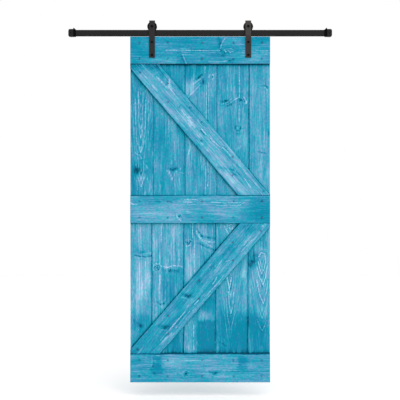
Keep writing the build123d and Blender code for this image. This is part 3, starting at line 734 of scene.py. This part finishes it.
w = board("lower_board_2", seed=18.6, tone=0.51, seam_l=-0.14, seam_r=-0.06, shade_l=0.16, shade_r=0.18)
w.box(153.4, 224, 158.0, 264, 12, 0.14)
w.path([(161.7, 224), (161.3, 234), (161.5, 244)], 2.3, 0.58)
w.path([(160.0, 249), (159.8, 264)], 2.2, 0.46)
w.path([(179.0, 250), (179.2, 260), (178.6, 266)], 4.0, 0.32)
w.knot(157.3, 267.8, 12, 15, dark=0.30, ring=0.40, bump=12, halo=0.30)
w.path([(153.6, 264.8), (156.0, 263.2), (159.2, 264.0)], 2.4, 0.40)
w.path([(161.4, 266.6), (167.4, 267.2), (175, 266.2), (182.8, 267.0)], 2.8, 0.44)
w.box(162.6, 269.6, 184, 300, 9, -0.24)
w.box(153, 298, 184, 322, 20, -0.10)
w.path([(163.0, 269.4), (170, 270.8), (178, 271.4)], 6.0, -0.24)
w.path([(153.6, 268.2), (155.2, 265.8), (158.2, 265.4)], 2.0, -0.44)
w.path([(155.0, 270.6), (158.6, 270.2), (160.4, 266.8)], 2.4, -0.46)
w.path([(160.3, 275), (160.1, 284)], 2.4, 0.60)
w.path([(159.6, 284), (159.4, 300)], 3.2, 0.30)
w.path([(157.4, 302.4), (160.4, 304.8), (163.8, 304.0), (166.2, 301.2)], 5.0, -0.26, fibre=False)
w.path([(155.0, 306), (159.0, 307.2)], 2.8, -0.20)
w.box(164, 330, 184, 354, 22, -0.34)
w.path([(168.8, 226), (168.6, 262)], 2.4, 0.24)
w.path([(174.4, 226), (174.2, 256)], 2.2, 0.24)
made["lower_board_2"] = w.make(streak=0.86, pale=0.36)

w = board("lower_board_3", seed=21.5, tone=0.39, seam_l=-0.06, seam_r=-0.06, shade_l=0.24, shade_r=0.16)
w.path([(192.9, 223.6), (192.6, 230), (192.9, 238)], 2.3, 0.64)
w.path([(194.6, 236), (194.9, 254), (194.6, 274)], 2.6, 0.40)
w.path([(190.6, 248), (190.8, 276)], 2.2, 0.28)
w.knot(188.6, 242.4, 12, 16, dark=0.20, ring=0.20, bump=12, halo=0.26)
w.path([(185.8, 241.6), (188.6, 244.0), (191.0, 240.8)], 3.2, -0.34, fibre=False)
w.path([(186.4, 246.2), (189.6, 245.4), (191.6, 242.4)], 2.0, 0.40)
w.box(186, 254, 198, 300, 16, 0.20)
w.box(196, 326, 216, 352, 16, -0.08)
w.path([(197.0, 227.4), (199.0, 232), (202.4, 236.4)], 3.6, -0.30)
w.path([(201.4, 236.0), (208.4, 237.6), (215.6, 238.2)], 5.4, -0.28, fibre=False)
w.path([(196.4, 231), (198.6, 236.4), (202.8, 240.4), (209.0, 241.8), (215.6, 242.0)], 3.6, 0.34)
w.path([(198.4, 234.0), (200.6, 238.4)], 5.0, 0.34, fibre=False)
w.path([(197.6, 243.0), (203.0, 245.4), (208.4, 247.4), (213.6, 249.6)], 5.0, -0.26, fibre=False)
w.path([(199.4, 239.8), (206.5, 243.2), (212.6, 247.0)], 2.2, 0.34)
w.path([(204.6, 249.6), (209.0, 252.6)], 2.6, -0.22)
w.box(186, 248, 193.6, 282, 14, 0.14)
w.blob(203.5, 258, 50, 32, -0.10)
w.box(185, 318, 193.6, 352, 10, 0.04)
w.path([(193.8, 325), (193.6, 337)], 2.3, 0.60)
w.path([(193.8, 340), (194.0, 350)], 2.3, 0.56)
w.box(197.6, 321.2, 214.8, 355, 5, -0.42)
w.box(199, 311, 210, 319, 9, 0.16)
w.box(186, 288, 215, 312, 20, -0.20)
w.path([(203.0, 312), (203.4, 322)], 2.4, 0.26)
made["lower_board_3"] = w.make(streak=0.86, pale=0.30)

w = board("lower_board_4", seed=24.8, tone=0.46, cathedral=(230.8, 0.085, 6.0, 356, 240), seam_l=0.00, seam_r=-0.06, shade_l=0.16, shade_r=0.14)
w.knot(231.3, 226.0, 12, 12, dark=0.24, ring=0.50, bump=10, halo=0.40)
w.path([(229.6, 228.6), (229.8, 225.6), (231.8, 224.4), (233.4, 226.4), (232.4, 229.2), (230.2, 229.2)], 2.0, 0.80)
w.path([(224.8, 226), (226.4, 230), (228.6, 234)], 2.2, 0.60)
w.rings(231.2, 300, 210, 40, 0.44)
w.path([(227.2, 277.0), (228.6, 283.6), (229.7, 288.4), (230.6, 283.6), (231.6, 277.4)], 2.3, 0.95)
w.path([(225.4, 271), (227.0, 280), (229.6, 290)], 2.2, 0.60)
w.box(240.6, 269.6, 246.6, 278.4, 5, 0.19)
w.path([(228.8, 292), (229.2, 304), (231.2, 312.8), (233.0, 304), (233.8, 292)], 2.0, 0.62)
w.path([(226.6, 296), (227.6, 316), (230.8, 330), (234.0, 318)], 1.9, 0.34)
w.path([(224.2, 300), (225.2, 322), (228.4, 340)], 1.9, 0.24)
w.box(217, 314, 248, 354, 32, -0.38)
w.box(241, 314, 247.4, 352, 12, -0.14)
w.path([(219.4, 342.0), (222.6, 344.0), (226.0, 346.0)], 5.0, -0.10, fibre=False)
w.path([(219.2, 250), (219.4, 276)], 2.2, 0.28)
made["lower_board_4"] = w.make(streak=0.78, pale=0.34)

w = board("lower_board_5", seed=28.3, tone=0.48, cathedral=(262.2, 0.10, 6.0, 356, 232), seam_l=-0.06, seam_r=0.06, shade_l=0.16, shade_r=0.00)
w.knot(252.6, 261.4, 15, 15, dark=0.30, ring=0.2, bump=12, halo=0.02)
w.blob(253.2, 259.4, 50, 32, -0.36)
w.blob(250.8, 265.4, 20, 13, -0.22)
w.blob(255.6, 255.6, 16, 12, -0.18)
w.rings(262.6, 280, 200, 40, 0.50)
w.path([(258.4, 262), (260.0, 269), (262.0, 273.8), (264.2, 268), (266.0, 261), (264.8, 254), (261.4, 252.6), (258.8, 257)], 2.0, 0.90)
w.path([(256.6, 266), (259.6, 277), (263.0, 284.8), (265.6, 277), (267.4, 266)], 2.0, 0.86)
w.path([(256.8, 280), (259.8, 294), (263.6, 303.6), (266.4, 292), (268.2, 280)], 2.0, 0.66)
w.path([(260.0, 260), (262.2, 267.6), (263.8, 260.6)], 1.9, 0.46)
w.path([(262.0, 234), (262.2, 251)], 2.2, 0.32)
w.path([(266.8, 228), (267.4, 252)], 2.0, 0.26)
w.path([(257, 320), (260.4, 327.6), (262.4, 331), (264.6, 326.6), (267, 320)], 2.1, 0.34)
w.path([(258.2, 306), (262.2, 318), (266.6, 306)], 2.0, 0.32)
w.box(249, 316, 270, 356, 32, -0.38)
w.box(249, 226, 270, 246, 22, -0.18)
w.box(256, 268, 270, 300, 18, 0.08)
made["lower_board_5"] = w.make(streak=0.95, pale=0.36)

# ---- rails
w = Wood("wood_top_rail", ALONG, 31.1, 0.27)
w.box(128, 36, 150, 66, 40, -0.14)
w.path([(166, 50.5), (187, 50.3), (203, 50.6), (220, 50.9)], 1.9, 0.50)
w.path([(182, 52.7), (200, 52.4), (216, 52.9)], 1.8, 0.36)
w.path([(187, 50.5), (210, 50.8)], 1.9, 0.30)
w.path([(171, 54.4), (192, 54.8)], 1.8, 0.20)
w.path([(178.0, 51.6), (180.6, 54.6), (182.6, 58.4), (184.2, 62.0)], 5.0, -0.04, fibre=False)
w.path([(179.4, 54.0), (181.2, 62.6)], 17.0, -0.13, fibre=False)
w.path([(182.8, 54.6), (184.4, 58.2), (186.6, 63.2)], 2.6, 0.44, fibre=False)
w.path([(220.6, 48.6), (221.4, 45), (224.8, 38.2)], 2.6, 0.44)
w.path([(218.6, 38), (220.0, 43), (219.4, 48)], 9.0, -0.12, fibre=False)
w.box(225.0, 38, 243, 48, 14, 0.12)
w.knot(221.4, 50.6, 11, 12, dark=0.20, ring=0.1, bump=8, halo=0.10)
w.path([(224.4, 50.0), (226.2, 52.2), (228.4, 50.6), (230.6, 52.6), (233.6, 51.6)], 2.2, 0.56)
w.path([(226.0, 49.2), (231.0, 49.0), (234.8, 50.6)], 2.0, 0.30)
w.blob(222.6, 54.6, 26, 16, -0.16)
w.blob(231.0, 60.6, 20, 12, -0.12)
w.path([(208.6, 62.0), (225.6, 61.8)], 2.2, 0.34)
w.path([(228.6, 60.6), (232.6, 62.8)], 4.6, -0.22)
w.box(138, 58.0, 182, 63.6, 9, 0.12)
w.box(247, 50, 270, 64, 22, 0.14)
w.path([(255.6, 50.6), (268, 50.8)], 1.9, 0.38)
w.path([(252, 54.6), (268, 54.4)], 1.9, 0.22)
w.box(190, 55, 216, 61, 12, 0.06)
w.box(240, 38, 270, 46, 16, -0.08)
made["top_rail"] = w.make(streak=0.70, pale=0.22, cloud=0.8, eased_lo=-0.04, eased_hi=0.10, side=0.46, edge_shade=(23.5, 190.0, 0.0, -0.12, 3.0), screws=two_rows(1996.6, 2095.6))

w = Wood("wood_middle_rail", ALONG, 34.7, 0.43)
w.path([(156.6, 200.8), (160.0, 202.2)], 4.6, -0.28, fibre=False)
w.path([(169.4, 201.6), (171.6, 202.6)], 4.6, -0.30, fibre=False)
w.path([(184.8, 199.6), (193.0, 199.4), (198.0, 199.8)], 2.1, 0.54)
w.path([(184.0, 202.2), (192.5, 202.0)], 2.2, 0.54)
w.path([(188.0, 204.4), (196.0, 204.6)], 1.9, 0.26)
w.path([(210.6, 202.0), (226, 203.0), (233, 202.2), (240.4, 202.6)], 2.0, 0.48)
w.path([(215, 205.0), (222, 205.8), (227, 204.8)], 1.9, 0.36)
w.path([(238, 205.0), (241, 204.8), (244.6, 202.4)], 1.9, 0.46)
w.knot(179.6, 216.6, 10, 13, dark=0.38, ring=0.1, bump=10, halo=0.24)
w.path([(176.4, 213.6), (177.6, 217.4), (181.0, 221.0)], 2.6, 0.44)
w.path([(180.8, 215.6), (182.4, 218.6)], 3.6, -0.24)
w.box(238, 197, 274, 224, 50, -0.10)
w.box(250, 197, 274, 224, 40, -0.22)
w.box(134, 207, 182, 221, 18, 0.11)
w.path([(131, 202.6), (133.6, 204.6), (137, 204.8)], 2.6, 0.46)
w.path([(144, 208.0), (176, 207.6)], 1.9, 0.20)
w.path([(140, 213.4), (172, 213.0)], 1.9, 0.20)
w.box(132, 196, 178, 203, 12, -0.10)
w.box(206, 206, 240, 218, 18, 0.11)
w.path([(134, 216.6), (150, 216.8)], 1.9, 0.20)
made["middle_rail"] = w.make(streak=0.78, pale=0.24, cloud=0.8, eased_lo=0.10, eased_hi=0.04, side=0.46, edge_shade=(1003.0, 1175.0, 0.60, 0.22, 3.2), screws=two_rows(1017.3, 1116.3))

w = Wood("wood_bottom_rail", ALONG, 37.9, 0.40)
w.box(154.4, 356, 160.6, 367, 9, -0.27)
w.box(151.4, 364, 162.4, 374.6, 9, -0.27)
w.path([(153.6, 357.4), (154.2, 362.0), (153.0, 367.0)], 4.6, -0.10, fibre=False)
w.path([(152.0, 356.0), (152.4, 361.5), (151.0, 367.0)], 2.2, 0.20)
w.path([(150.4, 369.4), (154.0, 373.2), (158.0, 375.0)], 5.0, -0.10, fibre=False)
w.path([(156.0, 355.6), (160.4, 356.0)], 2.6, 0.34)
w.knot(178.0, 373.6, 9, 8, dark=0.24, ring=0.2, bump=6, halo=0.18)
w.knot(186.2, 373.6, 13, 12, dark=0.30, ring=0.3, bump=9, halo=0.24)
w.blob(186.6, 373.4, 15, 10, -0.24)
w.knot(215.2, 373.0, 14, 12, dark=0.06, ring=0.1, bump=9, halo=0.08)
w.blob(215.4, 372.8, 28, 17, -0.24)
w.path([(209.6, 371.6), (215.4, 374.0), (221.0, 370.4)], 5.0, -0.20, fibre=False)
w.path([(212.0, 376.8), (215.6, 372.0), (217.8, 369.2)], 5.0, -0.16, fibre=False)
w.line(223, 371.2, 270, 371.2, 1.9, -0.26)
w.line(223, 375.8, 268, 376.2, 1.9, -0.24)
w.box(238, 356.4, 247, 370, 10, -0.24)
w.box(209, 356, 237, 369, 16, 0.10)
w.box(166, 357, 214, 366, 20, 0.12)
w.box(131, 358, 150, 384, 26, -0.12)
w.path([(166, 361.0), (204, 360.6)], 1.9, 0.24)
w.path([(224, 362.8), (262, 363.0)], 1.9, 0.20)
made["bottom_rail"] = w.make(streak=0.66, pale=0.22, cloud=0.8, eased_lo=0.10, eased_hi=0.0, side=0.46, edge_shade=(1982.1, 2157.1, 0.46, 0.0, 3.6), screws=two_rows(38, 137))

# ---- braces
w = Wood("wood_upper_brace", (1.0, -1.1768), 41.3, 0.50)
w.path([(157.0, 68.0), (162.6, 75.0), (166.2, 82.0)], 16.0, -0.22, fibre=False)
w.path([(157.0, 77), (162.0, 82.0), (166.6, 87.4)], 3.4, 0.50)
w.path([(158.6, 80), (163.0, 85.2)], 2.4, 0.36)
w.path([(168.6, 88.0), (169.6, 79.4)], 4.6, 0.42, fibre=False)
w.path([(171.4, 90.0), (170.2, 81.4)], 5.0, 0.26, fibre=False)
w.path([(165.6, 86.4), (167.4, 80.0)], 5.0, -0.12, fibre=False)
w.path([(181.8, 105.0), (179.8, 108.0)], 2.4, -0.46, fibre=False)
w.path([(178.4, 107.2), (181.0, 109.4)], 2.2, -0.24, fibre=False)
w.path([(176.6, 94.6), (174.6, 97.6)], 2.4, -0.20, fibre=False)
w.path([(183, 111), (189, 118.4), (195, 126)], 11.0, 0.26)
w.path([(183, 115), (190, 124.4), (199, 136)], 14.0, 0.24)
w.path([(201.6, 129.0), (206.0, 134.4)], 2.4, 0.74)
w.path([(200.6, 130.2), (204.8, 135.6)], 2.2, -0.44)
w.path([(211.0, 138.4), (214.6, 142.8)], 2.2, 0.74)
w.path([(210.0, 139.6), (213.4, 144.0)], 2.2, -0.40)
w.path([(216.4, 143.4), (222.0, 148.4)], 2.0, 0.48)
w.path([(222.6, 147.4), (227.6, 152.0), (230.6, 155.6)], 2.3, 0.50)
w.path([(224.4, 146.6), (228.0, 150.6)], 2.3, -0.36)
w.path([(197.6, 141.0), (202.0, 144.4), (208, 151)], 7.0, 0.28)
w.line(218.6, 167.8, 226.6, 168.6, 5.4, -0.26, fibre=False)
w.line(229.2, 169.2, 234.2, 170.6, 4.8, -0.28, fibre=False)
w.line(236.4, 171.8, 241.2, 175.6, 4.0, -0.28, fibre=False)
w.line(230.4, 172.0, 238.0, 176.2, 3.6, -0.26, fibre=False)
w.path([(220.6, 171.6), (226.0, 175.4), (232.0, 181.4)], 10.0, 0.20, fibre=False)
w.path([(237.4, 171.6), (241.4, 176.0)], 2.2, 0.34)
w.path([(243.8, 177.8), (247.2, 182.6), (250.4, 187.0)], 2.2, 0.54)
w.path([(214, 160), (234, 180), (250, 192)], 24.0, 0.18, fibre=False)
w.path([(226, 178), (233, 184), (240, 191)], 16.0, 0.12, fibre=False)
w.path([(172, 86), (190, 107), (206, 126)], 11.0, -0.14)
w.path([(206, 126), (226, 148)], 9.0, -0.08)
w.path([(206, 154), (222, 170)], 12.0, -0.10)
w.path([(141, 76), (158, 96), (176, 118)], 10.0, 0.10)
w.path([(233.6, 158.0), (246.4, 173.2), (258, 187)], 4.0, 0.20)
made["upper_brace"] = w.make(streak=0.88, pale=0.36, cloud=0.9, eased_lo=0.20, eased_hi=0.28, ends=-0.20, side=0.46, edge_shade=(316.7, 472.7, 0.58, 0.56, 3.2), joint_shade=((-190.0, 0.46, 5.0, 0.38, 44.0), (-1003.0, 0.20, 3.0, 0.0, 20.0)),
                           screws=spots((-372.1, 1912), (-197.6, 1845), (-197.6, 1731), (9.0, 1605), (9.0, 1493), (200.4, 1391), (200.4, 1279), (389.8, 1179)))

w = Wood("wood_lower_brace", (1.0, 1.1535), 45.8, 0.37)
w.path([(240.0, 226.5), (248.0, 228.0), (254.0, 232.0)], 26.0, -0.10, fibre=False)
w.path([(182.8, 293.4), (187.5, 296.0), (194.6, 296.6)], 10.0, -0.20, fibre=False)
w.path([(182.0, 296.8), (188.0, 299.4)], 3.4, 0.30, fibre=False)
w.path([(159.8, 325.0), (164.0, 326.8), (169.2, 326.6)], 11.0, -0.17, fibre=False)
w.path([(161.4, 329.4), (167.0, 330.0)], 3.2, 0.26, fibre=False)
w.path([(194.6, 304.4), (197.2, 301.6), (199.2, 299.2)], 2.2, 0.74)
w.path([(212.8, 283.8), (215.0, 281.0), (217.2, 277.2)], 2.2, 0.74)
w.path([(215.0, 286.0), (219.6, 280.6), (224.0, 274.6)], 2.0, 0.48)
w.path([(205.0, 296.0), (210.6, 290.4), (216.0, 284.4)], 2.0, 0.42)
w.path([(185.4, 311.4), (180.6, 317.2), (173.0, 325.6), (160.8, 340.0)], 2.2, 0.58)
w.path([(181.6, 316.0), (176.0, 322.6), (170.0, 330.0)], 2.0, 0.46)
w.path([(190.0, 311.0), (184.0, 318.0), (176.0, 328.0)], 2.0, 0.46)
w.path([(236.0, 251.0), (245.4, 241.0), (254.0, 232.0)], 6.0, 0.20, fibre=False)
w.path([(238.0, 246.4), (246.4, 236.6)], 2.0, 0.40)
w.path([(243.6, 245.2), (250.8, 236.8)], 2.0, 0.40)
w.path([(241.6, 251.4), (246.8, 245.0), (252.0, 239.4)], 2.2, 0.44)
w.path([(162.0, 344.0), (166.0, 338.6), (172.0, 333.6)], 6.0, 0.28)
w.blob(262.8, 225.4, 5, 8, 0.44)
w.blob(265.0, 224.0, 4, 4, 0.36)
w.box(148, 368, 172, 302, 60, -0.12)
w.path([(238, 250), (222, 268), (212, 276)], 13.0, 0.10, fibre=False)
w.path([(232.0, 259.0), (229.0, 260.6), (226.0, 261.4)], 3.2, 0.28)
w.path([(178, 308), (200, 283), (214, 267), (232, 247)], 15.0, -0.12)
w.path([(170, 340), (196, 310), (220, 283), (246, 253), (264, 233)], 11.0, 0.14)
w.path([(200.4, 276.6), (212.0, 263.4)], 2.2, 0.30)
made["lower_brace"] = w.make(streak=0.78, pale=0.36, cloud=0.9, eased_lo=0.26, eased_hi=0.20, ends=-0.20, side=0.46, edge_shade=(955.4, 1111.4, 0.28, 0.46, 3.0), joint_shade=((-1175.0, 0.04, 3.0, 0.0, 20.0), (-1982.1, 0.26, 5.0, 0.06, 30.0)),
                           screws=spots((375.0, 935), (201.7, 864), (201.7, 753), (-6.3, 629), (-6.3, 516), (-197.0, 411), (-197.0, 300), (-385.1, 202)))


for name, mat in made.items():
    ob = nodes[name]
    ob.data.materials.clear()
    ob.data.materials.append(mat)


# ------------------------------------------------------------------ metal, rubber and nylon
def powder(name, base, tint, rough=0.46, peel=0.00022, specular=0.14, painted_sheen=None):
    """Satin powder coat: orange peel, faint dust, a slight drift in tone and, where given, a painted sheen on the
    upper part.
    """
    g = Graph(name)
    big = g.noise(g.place, scale=9.0, detail=3.0, rough=0.55)
    peelh = g.noise(g.place, scale=900.0, detail=2.0, rough=0.5)
    grit = g.noise(g.place, scale=2600.0, detail=1.0, rough=0.5)
    t = g.mad(big - 0.5, 0.9, 0.5) + (peelh - 0.5) * 0.35
    # painted sheen: lighter above a given height
    if painted_sheen:
        z0, z1 = painted_sheen
        t = t + g.smooth(g.dot(g.place, (0, 0, 1)), z0, z1) * g.smooth(big, 0.30, 0.62, 0.5, 1.0) * 1.2
    colour = g.ramp(g.clamp(t), [(0.0, rgb(*base)), (1.0, rgb(*tint))])
    r = g.mad(big - 0.5, 0.20, rough) + (grit - 0.5) * 0.10
    n = g.bump(g.mad(grit, 0.3, peelh), peel, 0.5)
    return g.finish(colour, r, n, specular=specular)


def oxide(name, base, tint, rough=0.42):
    """Black oxide on turned steel, with fine noise in tone, bump and roughness."""
    g = Graph(name)
    big = g.noise(g.place, scale=60.0, detail=3.0, rough=0.6)
    fine = g.noise(g.place, scale=1800.0, detail=2.0, rough=0.5)
    t = g.mad(big - 0.5, 1.0, 0.5) + (fine - 0.5) * 0.3
    colour = g.ramp(g.clamp(t), [(0.0, rgb(*base)), (1.0, rgb(*tint))])
    n = g.bump(fine, 0.0001, 0.4)
    return g.finish(colour, g.mad(fine - 0.5, 0.2, rough), n, specular=0.08)


def zinc(name):
    """Bronze-toned zinc on wood screw heads, dulled by stain."""
    g = Graph(name)
    big = g.noise(g.place, scale=160.0, detail=3.0, rough=0.6)
    fine = g.noise(g.place, scale=1500.0, detail=2.0, rough=0.5)
    colour = g.ramp(g.clamp(g.mad(big - 0.5, 2.4, 0.5)), [(0.0, rgb(52, 62, 72)), (0.45, rgb(96, 80, 96)), (0.75, rgb(108, 88, 102)), (1.0, rgb(76, 108, 128))])
    n = g.bump(fine, 0.0001, 0.5)
    return g.finish(colour, g.mad(fine - 0.5, 0.3, 0.46), n, metallic=0.4, specular=0.3)


def steel(name):
    """Ground bearing steel."""
    g = Graph(name)
    fine = g.noise(g.place, scale=1400.0, detail=2.0, rough=0.6)
    big = g.noise(g.place, scale=120.0, detail=2.0, rough=0.5)
    colour = g.ramp(big, [(0.2, rgb(168, 170, 174)), (0.8, rgb(204, 206, 210))])
    n = g.bump(fine, 0.00005, 0.4)
    return g.finish(colour, g.mad(fine - 0.5, 0.2, 0.24), n, metallic=1.0, specular=0.5)


def rubber(name):
    g = Graph(name)
    big = g.noise(g.place, scale=80.0, detail=3.0, rough=0.6)
    fine = g.noise(g.place, scale=1600.0, detail=2.0, rough=0.6)
    colour = g.ramp(big, [(0.25, rgb(3, 3, 4)), (0.75, rgb(10, 10, 11))])
    n = g.bump(g.mad(big, 0.6, fine * 0.5), 0.0003, 0.5)
    return g.finish(colour, g.mad(big - 0.5, 0.2, 0.72), n, specular=0.04)


def nylon(name, a, b, rough=0.45, specular=0.4):
    g = Graph(name)
    big = g.noise(g.place, scale=130.0, detail=2.0, rough=0.5)
    fine = g.noise(g.place, scale=1500.0, detail=2.0, rough=0.5)
    colour = g.ramp(big, [(0.25, rgb(*a)), (0.75, rgb(*b))])
    n = g.bump(fine, 0.00012, 0.4)
    return g.finish(colour, g.mad(fine - 0.5, 0.2, rough), n, specular=specular)


COAT_TRACK = powder("coat_track", (20, 19, 19), (30, 29, 29))
COAT_STRAP = powder("coat_strap", (30, 28, 28), (44, 41, 41))
# the right strap has a painted sheen on its upper part
COAT_STRAP_R = powder("coat_strap_right", (30, 29, 29), (62, 59, 58), painted_sheen=(-0.03, 0.03))
COAT_STOP = powder("coat_stop", (16, 16, 16), (30, 29, 29))
OXIDE = oxide("black_oxide", (3, 3, 3), (9, 9, 9))
ZINC = zinc("screw_zinc")
STEEL = steel("bearing_steel")
RUBBER = rubber("stop_rubber")
CAGE = nylon("cage_nylon", (176, 160, 120), (200, 186, 148))
WHEEL = nylon("wheel_nylon", (10, 10, 11), (22, 21, 22), 0.5, 0.12)

for name, ob in nodes.items():
    if name in made:
        continue
    if name in ("track_rail", "wall_spacers", "wall_lag_screws", "anti_jump_discs"):
        m = COAT_TRACK
    elif name == "hanger_left":
        m = COAT_STRAP
    elif name == "hanger_right":
        m = COAT_STRAP_R
    elif name.startswith("end_stop"):
        m = COAT_STOP
    elif name.startswith("stop_bumper"):
        m = RUBBER
    elif name.startswith("wheel_"):
        m = WHEEL
    elif name.startswith("bearing_cage"):
        m = CAGE
    elif name.startswith("bearing_") or name == "axle_spacers":
        m = STEEL
    elif name in ("hanger_bolts", "hanger_washers", "hanger_nuts", "axle_bolts", "axle_nuts", "stop_set_screws", "anti_jump_screws"):
        m = OXIDE
    else:
        m = ZINC
    ob.data.materials.clear()
    ob.data.materials.append(m)


# ------------------------------------------------------------------ floor and light
LOW, HIGH, KEY = 0.56, 0.74, 1.48
FLOOR_Z = cad_box[0][2] - 0.09
bpy.ops.mesh.primitive_plane_add(size=14.0, location=(0, 1.0, FLOOR_Z))
floor = bpy.context.object
floor.name = "floor"
g = Graph("floor_white")
soft = g.noise(g.place, scale=1.5, detail=2.0)
tone = g.ramp(soft, [(0.3, (0.96, 0.96, 0.96, 1)), (0.7, (0.98, 0.98, 0.98, 1))])
floor.data.materials.append(g.finish(tone, 0.9, specular=0.1))
floor.visible_diffuse = False          # the floor doesn't throw white light up under the rails

# a large soft light at the upper right in front, in an even white studio
world = bpy.data.worlds.new("studio")
scene.world = world
world.use_nodes = True
world.node_tree.nodes.clear()
w = Nodes(world.node_tree)
coord = w.put("ShaderNodeTexCoord").outputs["Generated"]
side = Vector((0.46, -0.66, 0.60)).normalized()
lobe = w.maximum(w.dot(coord, tuple(side)), 0.0)
height = w.dot(coord, (0, 0, 1))
even = w.smooth(height, -0.35, 0.25, LOW, HIGH)
lit = w.mad(lobe * lobe, KEY, even)
seen = Num(w, w.put("ShaderNodeLightPath").outputs["Is Camera Ray"])
strength = w.mad(seen, 1.0 - lit, lit)
bg = w.put("ShaderNodeBackground")
bg.inputs["Color"].default_value = (1, 1, 1, 1)
w.plug(strength, bg.inputs["Strength"])
end = w.put("ShaderNodeOutputWorld")
world.node_tree.links.new(bg.outputs[0], end.inputs["Surface"])
